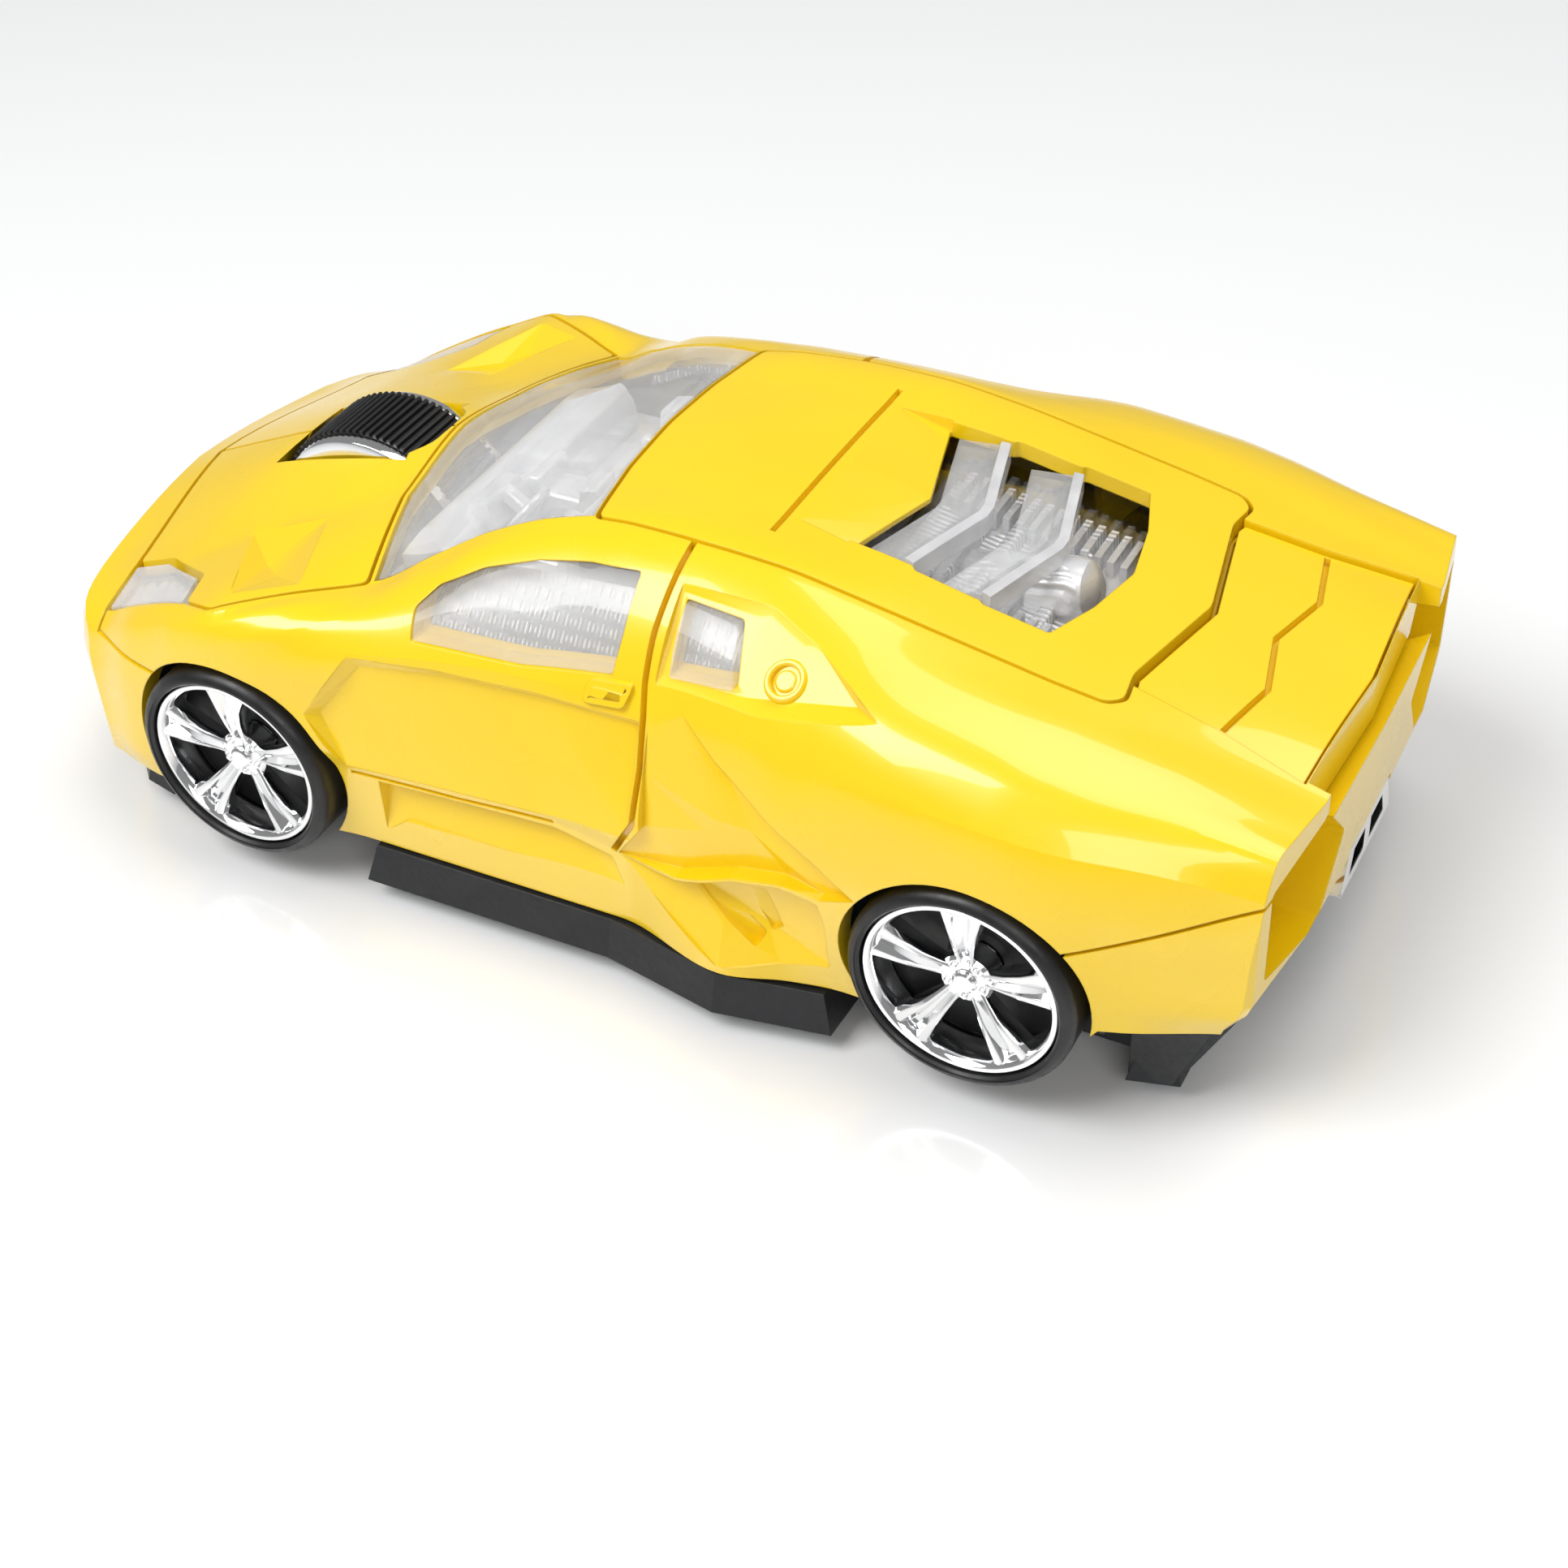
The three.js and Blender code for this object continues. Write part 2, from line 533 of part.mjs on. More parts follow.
const DOOR_SEAM = [
  [5.2, 34.9], [5.1, 34], [4.9, 30.7], [5, 27.5], [5.3, 25.5], [5.4, 21.5], [5.2, 17], [2.9, 13.2],
];
const DOOR_FOOT_SEAM = [[-21.5, 13.1], [-11.7, 13.4], [-2.6, 14]];
const INTAKES = [
  [[8.9, 13.3], [10.4, 13.5], [16.1, 9.4], [15.4, 7.9]],
  [[14.3, 13.3], [16, 13.6], [17.3, 10.2], [16.3, 9.7]],
];

/** Tail outlines, [x, z]. */
const TAIL_POCKET = [[13.8, 24.8], [8.4, 19.2], [12.2, 13.6], [22, 15.2], [22.2, 23.4]];
const EXHAUST = [[-6.2, 10.7], [6.2, 10.7], [4.8, 14.4], [-4.8, 14.4]];

// ---------------------------------------------------------------- painted body

const ROOF_Z = 45;
const HOOD_CUT_Z = 18;
const SIDE_X = [12, 40];
const AXLES_Y = [-WHEELBASE / 2, WHEELBASE / 2];

function wheelArches() {
  const near = AXLES_Y.map((y) => cylinderX(ARCH_R, WELL_X, 40, y, WHEEL_Z, 32));
  return bothSides(join(...near));
}

function windows(outline, grow) {
  return bothSides(acrossX(offset(outline, grow), ...SIDE_X));
}

/** A ledge under the rims of the lid and the deck, which both rest on. */
function ledge() {
  const rim = join(upZ(offset(LID, 1.4), 20, ROOF_Z), upZ(offset(DECK, 1.4), 20, ROOF_Z));
  const open = join(upZ(LID_HOLE, 15, ROOF_Z), upZ(DECK_HOLE, 15, ROOF_Z));
  return layer(WALL - 0.3, WALL + LEDGE).intersect(rim).subtract(open);
}

/** The room that a lid or deck of some thickness takes out of the body around it. */
function seat(outline, gap, depth) {
  return upZ(offset(outline, gap), 20, ROOF_Z).subtract(below(depth));
}

function pocketWalls() {
  const wall = alongY(offset(TAIL_POCKET, 1.1), 46.6, TAIL_Y + 2).intersect(OUTER);
  return bothSides(wall);
}

function pocketHoles() {
  return bothSides(alongY(TAIL_POCKET, 47.8, TAIL_Y + 3));
}

const TROUGH = symmetric([[0, 53.5], [13.6, 52.7], [14.3, 60], [0, 60]]);
const POST_R = 2.6;

/** Posts for the base screws, each tied to the side wall by a rib. */
function screwPosts() {
  const posts = SCREW_Y.map((y) => cut(
    join(
      cylinderZ(POST_R, SILL_Z, 13, SCREW_X, y),
      box(SCREW_X, 40, y - 0.7, y + 0.7, 7, 12.4).intersect(below(0.7)),
    ),
    cylinderZ(SCREW_R + AXLE_CLEARANCE, SILL_Z - 1, 11.6, SCREW_X, y),
  ));
  return bothSides(join(...posts));
}

function bodyShell() {
  const trough = upZ(TROUGH, 20, ROOF_Z);
  const shell = join(SKIN, ledge(), pocketWalls(), layer(WALL - 0.2, 3.2).intersect(trough));
  return join(cut(
    shell,
    acrossX(offset(FRONT_BUMPER, SEAM / 2), -40, 40),
    acrossX(offset(REAR_BUMPER, SEAM / 2), -40, 40),
    upZ(HOOD, HOOD_CUT_Z, ROOF_Z),
    upZ(WINDSCREEN, HOOD_CUT_Z, ROOF_Z),
    bothSides(upZ(offset(HEADLIGHT, 0.05), HOOD_CUT_Z - 3, ROOF_Z)),
    seat(LID, SEAM, WALL + 0.2),
    seat(DECK, SEAM, WALL + 1.2),
    trough.subtract(below(1.7)),
    windows(DOOR_WINDOW, 0),
    windows(QUARTER_WINDOW, 0),
    wheelArches(),
    pocketHoles(),
    sideGroove(DOOR_SEAM),
    sideGroove(DOOR_FOOT_SEAM),
    windows(INTAKES[0], 0).subtract(below(1)),
    windows(INTAKES[1], 0).subtract(below(1)),
  ), screwPosts());
}

function frontBumper() {
  return cut(
    SKIN.intersect(acrossX(offset(FRONT_BUMPER, -SEAM / 2), -40, 40)),
    upZ(offset(HOOD, SEAM / 2), HOOD_CUT_Z - 2, ROOF_Z),
    bothSides(upZ(offset(HEADLIGHT, SEAM / 2), HOOD_CUT_Z - 3, ROOF_Z)),
    wheelArches(),
  );
}

function rearBumper() {
  const tail = join(SKIN, pocketWalls()).intersect(acrossX(offset(REAR_BUMPER, -SEAM / 2), -40, 40));
  const slot = alongY([[9, 11.6], [9, 12.4], [20.8, 14], [20.8, 13.2]], 40, 60);
  const slots = bothSides(slot.subtract(below(0.9)));
  return cut(tail, wheelArches(), pocketHoles(), slots, alongY(offset(EXHAUST, SEAM), 44, 60));
}

function deckPanel() {
  const groove = [[-12, 45.8], [-6, 47.1], [0, 45.7], [6, 47.1], [12, 45.8]];
  return cut(
    layer(1, 2.4).intersect(upZ(DECK, 24, ROOF_Z)),
    topGroove(groove, 1.5),
  );
}

function button() {
  const half = upZ(offset(HOOD, -SEAM), HOOD_CUT_Z, ROOF_Z).intersect(box(SEAM / 2, 40, -60, 0, 0, 50));
  const post = box(9.1, 10.7, -46.8, -45.2, 15.2, 40).intersect(below(0.6));
  return cut(
    join(layer(0, BUTTON_T).intersect(half), post),
    upZ(SCROLL_SLOT, 15, ROOF_Z),
    cylinderX(SCROLL_R + 0.6, -SLOT_HALF, SLOT_HALF, SCROLL_Y, SCROLL_Z, 32),
  );
}

function exhaustTrim() {
  const openings = bothSides(alongY([[0.6, 11.5], [4.4, 11.5], [3.6, 13.6], [0.6, 13.6]], 51.6, 60));
  return alongY(EXHAUST, 49.5, 54.2).subtract(openings);
}

// ---------------------------------------------------------------- windows, lamps and cabin

function windscreen() {
  return layer(0.1, 0.1 + LENS).intersect(upZ(offset(WINDSCREEN, -SEAM), 15, ROOF_Z));
}

function sideWindow(outline) {
  return layer(0.2, 0.2 + LENS).intersect(acrossX(offset(outline, -0.15), ...SIDE_X));
}

function sideReflector() {
  return layer(2.4, 3.2).intersect(acrossX(REFLECTOR, 17, 40));
}

function headlightLens() {
  return layer(0.1, 0.1 + LENS).intersect(upZ(offset(HEADLIGHT, -SEAM), 15, ROOF_Z));
}

function headlightReflector() {
  return layer(1.7, 2.6).intersect(upZ(offset(HEADLIGHT, -SEAM), 15, ROOF_Z));
}

/** Dashboard, seats, door tops and steering wheel in one plated moulding. */
function cabinInterior() {
  const floor = box(-14.5, 14.5, -22.6, -5.6, 22.4, 23.6);
  const dash = acrossX(
    [[-22.6, 23], [-22.6, 27], [-20.8, 28.4], [-18.2, 27.6], [-17.2, 25.8], [-17.2, 23]], -14.5, 14.5,
  );
  const back = box(-14.5, 14.5, -6.8, -5.6, 23, 40);
  const seats = [-6.6, 6.6].map((x) => join(
    box(x - 3.8, x + 3.8, -13.6, -7.4, 23, 25.4),
    acrossX([[-9.6, 24], [-8.8, 30.4], [-7.6, 31], [-6.4, 24]], x - 3.8, x + 3.8),
  ));
  const rim = new THREE.TorusGeometry(2.3, 0.42, 6, 16);
  rim.rotateX(-0.95);
  rim.translate(6.4, -15.6, 27.4);
  const hub = new THREE.CylinderGeometry(0.9, 0.9, 3.4, 12);
  hub.rotateX(-0.95 + Math.PI / 2);
  hub.translate(6.4, -16.4, 26.3);
  const bar = box(4.1, 8.7, -15.9, -15.3, 27, 27.5);
  return join(floor, dash, back, ...seats, solid(rim), solid(hub), bar).intersect(below(0.1 + LENS + 0.5));
}

function engineLid() {
  const groove = [[-11.3, 9.9], [11.3, 9.9]];
  return cut(
    layer(0, LID_T).intersect(upZ(LID, 20, ROOF_Z)),
    upZ(ENGINE_WINDOW, 20, ROOF_Z),
    topGroove(groove, 0.6),
  );
}

/** The clear engine cover with its two raised louvres, one moulding. */
function engineWindow() {
  const sheet = layer(LID_T + TOUCH_GAP, LID_T + TOUCH_GAP + 1);
  const plate = sheet.intersect(upZ(offset(ENGINE_WINDOW, 0.9), 20, ROOF_Z));
  const louvres = [20.6, 27.2].map((y) => {
    const path = [[-7.4, y - 1.6], [-3.4, y + 1], [3.4, y + 1], [7.4, y - 1.6]];
    return layer(0.3, LID_T + 0.9).intersect(upZ(stroke(path, 1.2), 20, ROOF_Z));
  });
  return join(plate, ...louvres);
}

/** Engine block, cylinder banks and intake pipes under the engine cover, one plated moulding. */
function engineInsert() {
  const block = acrossX([[16, 24.4], [16, 29.6], [33.4, 26.2], [33.4, 24.4]], -9, 9);
  const cover = acrossX([[18.4, 25], [18.4, 31], [31.4, 28.2], [31.4, 25]], -3.4, 3.4);
  const banks = bothSides(acrossX([[17.6, 25], [17.6, 30.4], [32, 27.4], [32, 25]], 5.4, 8.2));
  const pipes = [19.6, 22.4, 25.2, 28].map((y) => box(-7, 7, y, y + 1.2, 26, 34.1 - 0.21 * y));
  return join(block, cover, banks, ...pipes);
}

// ---------------------------------------------------------------- base

/** Plan outline of the base, x >= 0, from nose to tail. */
const BASE_OUTLINE = symmetric([
  [0, -54.4], [12, -53.2], [20, -50.6], [23.6, -47], [24.4, -OUT_Y - 0.2], [WELL_X, -OUT_Y], [WELL_X, -IN_Y],
  [26.8, 0.2 - IN_Y], [26.8, 1.5], [28.9, 12], [27.4, IN_Y - 0.2], [WELL_X, IN_Y], [WELL_X, OUT_Y],
  [22.4, OUT_Y + 0.2], [21.4, 47.6], [0, 47.6],
]);
const BASE_FLOOR_TOP = BASE_Z + BASE_FLOOR;

function tapered(levels) {
  const rings = levels.map(([z, grow]) => {
    const outline = offset(BASE_OUTLINE, grow);
    return outline.map(([x, y]) => new THREE.Vector3(x, y, z));
  });
  return loft(rings, (p) => new THREE.Vector2(p.x, p.y));
}

/** The slot in the base that the power knob slides in. */
function knobSlot() {
  const half = KNOB.w / 2 + 0.2;
  const start = KNOB.y - KNOB.l / 2 - 0.2;
  const end = KNOB.y + KNOB.l / 2 + KNOB.travel + 0.2;
  return box(-half, half, start, end, 0, 4);
}

function basePlate() {
  const tub = tapered([[BASE_Z, -0.8], [BASE_Z + 0.8, 0], [BASE_TOP_Z, -0.9]]);
  const hollow = tapered([[BASE_FLOOR_TOP, -1.9], [BASE_TOP_Z + 1, -1.9]]);
  const half = WELL_IN - 0.1;
  const wellWall = (y) => box(WELL_X - WELL_WALL, WELL_X, y - half, y + half, BASE_Z + 1, 15.6);
  const wells = bothSides(join(...AXLES_Y.map(wellWall))).intersect(below(WALL + TOUCH_GAP));
  const diffuser = acrossX(
    [[46, BASE_Z + 1], [47.2, BASE_Z + 1], [51.4, 9.9], [49.6, 9.9], [46.2, 3]], -21.2, 21.2,
  );
  const cheek = bothSides(acrossX([[43.6, 2], [47, 2], [50.4, 9.9], [43.8, 9.9]], 20.2, 21.8));
  const bosses = bothSides(join(...SCREW_Y.map((y) => cylinderZ(3.2, BASE_Z + 0.6, BASE_TOP_Z, SCREW_X, y))));
  const holes = SCREW_Y.flatMap((y) => [
    cylinderZ(SCREW_HEAD_R + 0.3, 0, BASE_Z + 1.7, SCREW_X, y),
    cylinderZ(SCREW_R + AXLE_CLEARANCE, 0, BASE_TOP_Z + 1, SCREW_X, y),
  ]);
  const bores = AXLES_Y.map((y) => cylinderX(AXLE_R + AXLE_CLEARANCE, 10, WELL_X + 1, y, WHEEL_Z));
  return cut(
    join(tub.subtract(hollow), wells, diffuser, cheek, bosses),
    bothSides(join(...holes)),
    bothSides(join(...bores)),
    upZ(offset(FOOT_FRONT, TOUCH_GAP), 0, BASE_Z + FOOT_RECESS + TOUCH_GAP),
    upZ(offset(FOOT_REAR, TOUCH_GAP), 0, BASE_Z + FOOT_RECESS + TOUCH_GAP),
    box(-3.6, 3.6, SENSOR_Y - 4.6, SENSOR_Y + 4.6, 0, 4),
    knobSlot(),
  );
}

const FOOT_FRONT = symmetric([[0, -51.2], [9, -50.4], [14, -48.2], [13.4, -46.6], [8.4, -48.4], [0, -49]]);
const FOOT_REAR = symmetric([[0, 43.6], [14, 43.6], [14, 45.6], [0, 45.6]]);
const KNOB = { y: 6, l: 3, w: 2.4, travel: 2 };

function foot(outline) {
  return upZ(outline, 0, BASE_Z + FOOT_RECESS);
}

function screw(x, y) {
  return join(
    cylinderZ(SCREW_HEAD_R, BASE_Z + 0.2, BASE_Z + 1.4, x, y),
    cylinderZ(SCREW_R, BASE_Z + 1.2, 11, x, y),
  );
}

// ---------------------------------------------------------------- wheels

const HUB_X = TRACK_HALF - TYRE_W;          // inner face of a tyre
const WEB_X = TRACK_HALF - 4.1;             // outer face of the wheel's web
const PIN_HEAD_R = 1.9;

/** A rubber tyre on its black wheel centre, for the left side. */
function tyre() {
  const bore = AXLE_R + AXLE_CLEARANCE;
  const profile = [
    [bore, HUB_X + 0.4], [3.2, HUB_X + 0.4], [3.2, HUB_X + 1.8], [7.3, HUB_X + 1.8], [7.3, HUB_X + 0.3],
    [7.6, HUB_X], [TYRE_R - 0.7, HUB_X], [TYRE_R, HUB_X + 0.9], [TYRE_R, TRACK_HALF - 1.2],
    [TYRE_R - 0.3, TRACK_HALF - 0.4], [TYRE_R - 0.8, TRACK_HALF], [RIM_R + 0.1, TRACK_HALF - 0.2],
    [RIM_R + 0.1, WEB_X], [PIN_HEAD_R + 0.2, WEB_X], [PIN_HEAD_R + 0.2, WEB_X - 1], [bore, WEB_X - 1],
    [bore, HUB_X + 0.4],
  ];
  return turnedX(profile, 28);
}

/** The plated five-spoke insert, for the left side. */
function rim() {
  const back = WEB_X + TOUCH_GAP;
  const face = TRACK_HALF - 0.5;
  const ring = turnedX([
    [6.9, back + 0.6], [RIM_R, back + 0.6], [RIM_R, face], [7.2, face], [6.9, face - 0.6], [6.9, back + 0.6],
  ]);
  const hub = turnedX([[0, back], [2, back], [2.2, face - 0.8], [1.5, face - 0.4], [0, face - 0.3]], 15);
  const spokes = [];
  for (let i = 0; i < 5; i += 1) {
    const spoke = alongSpoke([[1.5, -0.9], [1.5, 0.9], [7.1, 2], [7.1, -2]], back + 1.2, face - 0.9);
    spokes.push(spoke(i * 2 * Math.PI / 5));
  }
  return join(ring, hub, ...spokes);
}

/** An outline of [radius, side] points, extruded along X and turned to an angle about X. */
function alongSpoke(outline, from, to) {
  return (angle) => {
    const turned = outline.map(([r, s]) => [
      r * Math.sin(angle) + s * Math.cos(angle), r * Math.cos(angle) - s * Math.sin(angle),
    ]);
    return acrossX(turned, from, to);
  };
}

function stubAxle() {
  const head = WEB_X - 1 + TOUCH_GAP;
  const flange = WELL_X - WELL_WALL - TOUCH_GAP;
  return join(
    cylinderX(AXLE_R, flange - 1, head + 0.5, 0, 0),
    cylinderX(AXLE_FLANGE_R, flange - 1.2, flange, 0, 0),
    cylinderX(PIN_HEAD_R, head, WEB_X, 0, 0),
  );
}

// ---------------------------------------------------------------- scroll wheel

const SCROLL_HUB_R = SCROLL_R - 1.8;
const CARRIER_X = [5.3, 6.5];
const CARRIER_Z = [13.6, 16.4];

function scrollTyre() {
  const outline = [];
  for (let i = 0; i < SCROLL_RIBS; i += 1) {
    for (const [share, r] of [[0, SCROLL_R - 0.45], [0.25, SCROLL_R], [0.7, SCROLL_R]]) {
      const angle = (i + share) * 2 * Math.PI / SCROLL_RIBS;
      outline.push([r * Math.cos(angle), r * Math.sin(angle)]);
    }
  }
  const bore = cylinderX(SCROLL_HUB_R + TOUCH_GAP / 3, -10, 10, 0, 0, 28);
  return acrossX(outline, -SCROLL_W / 2, SCROLL_W / 2).subtract(bore);
}

function scrollHub() {
  const inner = SCROLL_W / 2 + 0.1;
  const outer = inner + SCROLL_FLANGE;
  const drum = cylinderX(SCROLL_HUB_R, -inner - 0.1, inner + 0.1, 0, 0, 28);
  const flange = turnedX([
    [0, inner], [SCROLL_R - 0.5, inner], [SCROLL_R - 0.3, inner + 0.3], [SCROLL_R - 0.8, outer],
    [7.4, outer], [6.4, inner + 0.4], [2.4, inner + 0.4], [2, outer], [0, outer],
  ]);
  const axle = cylinderX(SCROLL_AXLE_R, -7.2, 9.8, 0, 0);
  return join(drum, flange, otherSide(flange), axle);
}

function scrollCarrier() {
  const [inner, outer] = CARRIER_X;
  const [low, high] = CARRIER_Z;
  const frame = box(-outer, outer, SCROLL_Y - 13.6, SCROLL_Y + 12.8, low, high)
    .subtract(box(-inner, inner, SCROLL_Y - 12.2, SCROLL_Y + 11.6, low - 1, high + 1));
  const lug = bothSides(box(inner, outer, SCROLL_Y - 2.4, SCROLL_Y + 2.4, low + 0.5, SCROLL_Z + 2.2));
  return join(frame, lug).subtract(cylinderX(SCROLL_AXLE_R + AXLE_CLEARANCE, -10, 10, SCROLL_Y, SCROLL_Z));
}

function scrollEncoder() {
  const body = box(7.2, 10.8, SCROLL_Y - 2.6, SCROLL_Y + 2.6, PCB_TOP + 0.1, SCROLL_Z + 1.6);
  const reach = SCROLL_AXLE_R + 0.3;
  const low = SCROLL_Z - reach - SCROLL_TRAVEL;
  return body.subtract(box(7, 10.1, SCROLL_Y - reach, SCROLL_Y + reach, low, 30));
}

// ---------------------------------------------------------------- electronics and battery

const CHIP_BASE = PCB_TOP + 0.1;

function microSwitch() {
  return join(
    box(6.9, 12.9, -48.6, -36, CHIP_BASE, 13.8),
    cylinderZ(0.9, 13, 14.4, 9.9, -46, 12),
  );
}

function middleSwitch() {
  const y = SCROLL_Y - 12.9;
  return join(
    box(-3, 3, y - 3, y + 3, CHIP_BASE, 11.6),
    cylinderZ(1.2, 11, CARRIER_Z[0] - SCROLL_TRAVEL - 0.2, 0, y, 16),
  );
}

function mainBoard() {
  const board = box(-PCB_HALF, PCB_HALF, -49.6, 18, PCB_Z, PCB_TOP);
  return board.subtract(box(-2.4, 2.4, SENSOR_Y - 2.4, SENSOR_Y + 2.4, PCB_Z - 1, PCB_TOP + 1));
}

function sensorLens() {
  return join(
    box(-3.3, 3.3, SENSOR_Y - 4.3, SENSOR_Y + 4.3, BASE_Z + 0.4, 4.4),
    box(-2.1, 2.1, SENSOR_Y - 2.1, SENSOR_Y + 2.1, 4, PCB_TOP - 0.2),
  );
}

const BAY_BACK = BATTERY_Y + BATTERY_L / 2 + 2.9;
const BAY_FRONT = BATTERY_Y - BATTERY_L / 2 - 0.8;
const TRAY_HALF = BATTERY_R + 0.4 + TRAY_WALL;
const RECEIVER = { x: -11.2, y: 8, w: 5, l: 19, z: 10.4, h: 12.4 };

function batteryTray() {
  const low = BATTERY_Z - BATTERY_R - 0.3 - TRAY_WALL;
  const inside = TRAY_HALF - TRAY_WALL;
  const trough = box(-TRAY_HALF, TRAY_HALF, BAY_FRONT - TRAY_WALL, BAY_BACK + TRAY_WALL, low, BATTERY_Z + 2)
    .subtract(box(-inside, inside, BAY_FRONT, BAY_BACK, low + TRAY_WALL, 40));
  const { x, y, w, l, z, h } = RECEIVER;
  const pocket = box(x - w / 2 - 1.5, -TRAY_HALF + 0.5, y - 1.5, y + l + 1.5, z - 1.5, z + h / 2)
    .subtract(box(x - w / 2 - 0.4, x + w / 2 + 0.4, y - 0.4, y + l + 0.4, z - 0.3, 40));
  const foot = BASE_FLOOR_TOP + TOUCH_GAP;
  const legs = [-4, 4].map((x) => box(x - 1, x + 1, 24, 38, foot, low + 0.5));
  return join(trough, pocket, ...legs);
}

function battery() {
  const end = BATTERY_Y - BATTERY_L / 2;
  return join(
    cylinderY(BATTERY_R, end + 0.8, end + BATTERY_L, 0, BATTERY_Z, 24),
    cylinderY(1.9, end, end + 1, 0, BATTERY_Z, 16),
  );
}

/** A conical coil between the battery's flat end and the bay's back wall. */
function batterySpring() {
  const turns = 3;
  const start = BATTERY_Y + BATTERY_L / 2 + 0.5;
  const points = [];
  for (let i = 0; i <= turns * 10; i += 1) {
    const angle = i * Math.PI / 5;
    const r = 1.6 + 1.6 * i / (turns * 10);
    const y = start + 1.9 * i / (turns * 10);
    points.push(new THREE.Vector3(r * Math.cos(angle), y, BATTERY_Z + r * Math.sin(angle)));
  }
  const wire = new THREE.Shape();
  wire.absarc(0, 0, 0.22, 0, 2 * Math.PI, false);
  const path = new THREE.CatmullRomCurve3(points);
  return solid(new THREE.ExtrudeGeometry(wire, {
    extrudePath: path, steps: turns * 10, curveSegments: 3, bevelEnabled: false,
  }));
}

function receiver() {
  const { x, y, w, l, z, h } = RECEIVER;
  return join(
    box(x - w / 2, x + w / 2, y, y + l - 6.5, z, z + h),
    box(x - w / 2, x + w / 2 + 0.2, y + l - 6.6, y + l, z, z + h + 1),
  );
}

function powerKnob() {
  const { y, l, w } = KNOB;
  const flange = w / 2 + 1.2;
  const low = BASE_FLOOR_TOP + TOUCH_GAP;
  return join(
    box(-w / 2, w / 2, y - l / 2, y + l / 2, BASE_Z - 0.2, BASE_FLOOR_TOP + 1),
    box(-flange, flange, y - l / 2 - 1, y + l / 2 + 1, low, BASE_FLOOR_TOP + 1.1),
  );
}

// ---------------------------------------------------------------- assembly

const car = new THREE.Group();
car.position.y = -(NOSE_Y + TAIL_Y) / 2;

function place(name, body, finish, x = 0, y = 0, z = 0) {
  const mesh = new THREE.Mesh(geometryOf(body), finish);
  mesh.name = name;
  mesh.position.set(x, y, z);
  car.add(mesh);
}

/** A left-hand piece and its mirror image on the right. */
function placePair(name, body, finish, y = 0, z = 0) {
  place(`${name}_left`, body, finish, 0, y, z);
  place(`${name}_right`, otherSide(body), finish, 0, y, z);
}

place('base_plate', basePlate(), BASE_BLACK);
place('glide_foot_front', foot(FOOT_FRONT), GLIDE);
place('glide_foot_rear', foot(FOOT_REAR), GLIDE);
place('body_shell', bodyShell(), PAINT);
place('front_bumper', frontBumper(), PAINT);
place('rear_bumper', rearBumper(), PAINT);
place('deck_panel', deckPanel(), PAINT);
place('exhaust_trim', exhaustTrim(), CHROME);
placePair('button', button(), PAINT);

place('windscreen', windscreen(), CLEAR);
place('cabin_interior', cabinInterior(), CHROME);
placePair('door_window', sideWindow(DOOR_WINDOW), CLEAR);
placePair('quarter_window', sideWindow(QUARTER_WINDOW), CLEAR);
placePair('side_reflector', sideReflector(), CHROME);
placePair('headlight_lens', headlightLens(), CLEAR);
placePair('headlight_reflector', headlightReflector(), CHROME);

place('engine_lid', engineLid(), PAINT);
place('engine_window', engineWindow(), SMOKED);
place('engine_insert', engineInsert(), CHROME);

for (const [end, y] of [['front', AXLES_Y[0]], ['rear', AXLES_Y[1]]]) {
  placePair(`tyre_${end}`, tyre(), TYRE_BLACK, y, WHEEL_Z);
  placePair(`rim_${end}`, rim(), CHROME, y, WHEEL_Z);
  placePair(`stub_axle_${end}`, stubAxle(), STEEL, y, WHEEL_Z);
}

place('scroll_tyre', scrollTyre(), TYRE_BLACK, 0, SCROLL_Y, SCROLL_Z);
place('scroll_hub', scrollHub(), CHROME, 0, SCROLL_Y, SCROLL_Z);
place('scroll_carrier', scrollCarrier(), BASE_BLACK);
place('scroll_encoder', scrollEncoder(), CHIP);

place('main_board', mainBoard(), BOARD);
placePair('micro_switch', microSwitch(), CHIP);
place('micro_switch_middle', middleSwitch(), CHIP);
place('sensor_chip', box(-4, 4, SENSOR_Y - 5.5, SENSOR_Y + 5.5, CHIP_BASE, CHIP_BASE + 1.4), CHIP);
place('sensor_lens', sensorLens(), CLEAR);
place('battery_tray', batteryTray(), BASE_BLACK);
place('battery', battery(), CELL);
place('battery_spring', batterySpring(), STEEL);
place(
  'battery_contact',
  box(-3, 3, BAY_FRONT + 0.1, BAY_FRONT + 0.5, BATTERY_Z - 3.5, BATTERY_Z + 3.5),
  STEEL,
);
place('usb_receiver', receiver(), BASE_BLACK);
place('power_switch', box(-4, 4, KNOB.y - 4, KNOB.y + 6, BASE_FLOOR_TOP + 1.6, PCB_Z - 0.2), CHIP);
place('power_knob', powerKnob(), GLIDE);

for (const [end, y] of [['front', SCREW_Y[0]], ['rear', SCREW_Y[1]]]) {
  placePair(`screw_${end}`, screw(SCREW_X, y), STEEL);
}

export default car;
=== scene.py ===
"""Fine surfaces, materials, light and camera for a car-shaped wireless computer mouse.

Outlines are in millimetres in the body's own plan (nose to -Y, left side +X, y = 0 at the middle of
the wheelbase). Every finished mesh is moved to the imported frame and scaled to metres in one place.
"""
import json
import math

import bmesh
import bpy
from mathutils import Matrix, Vector

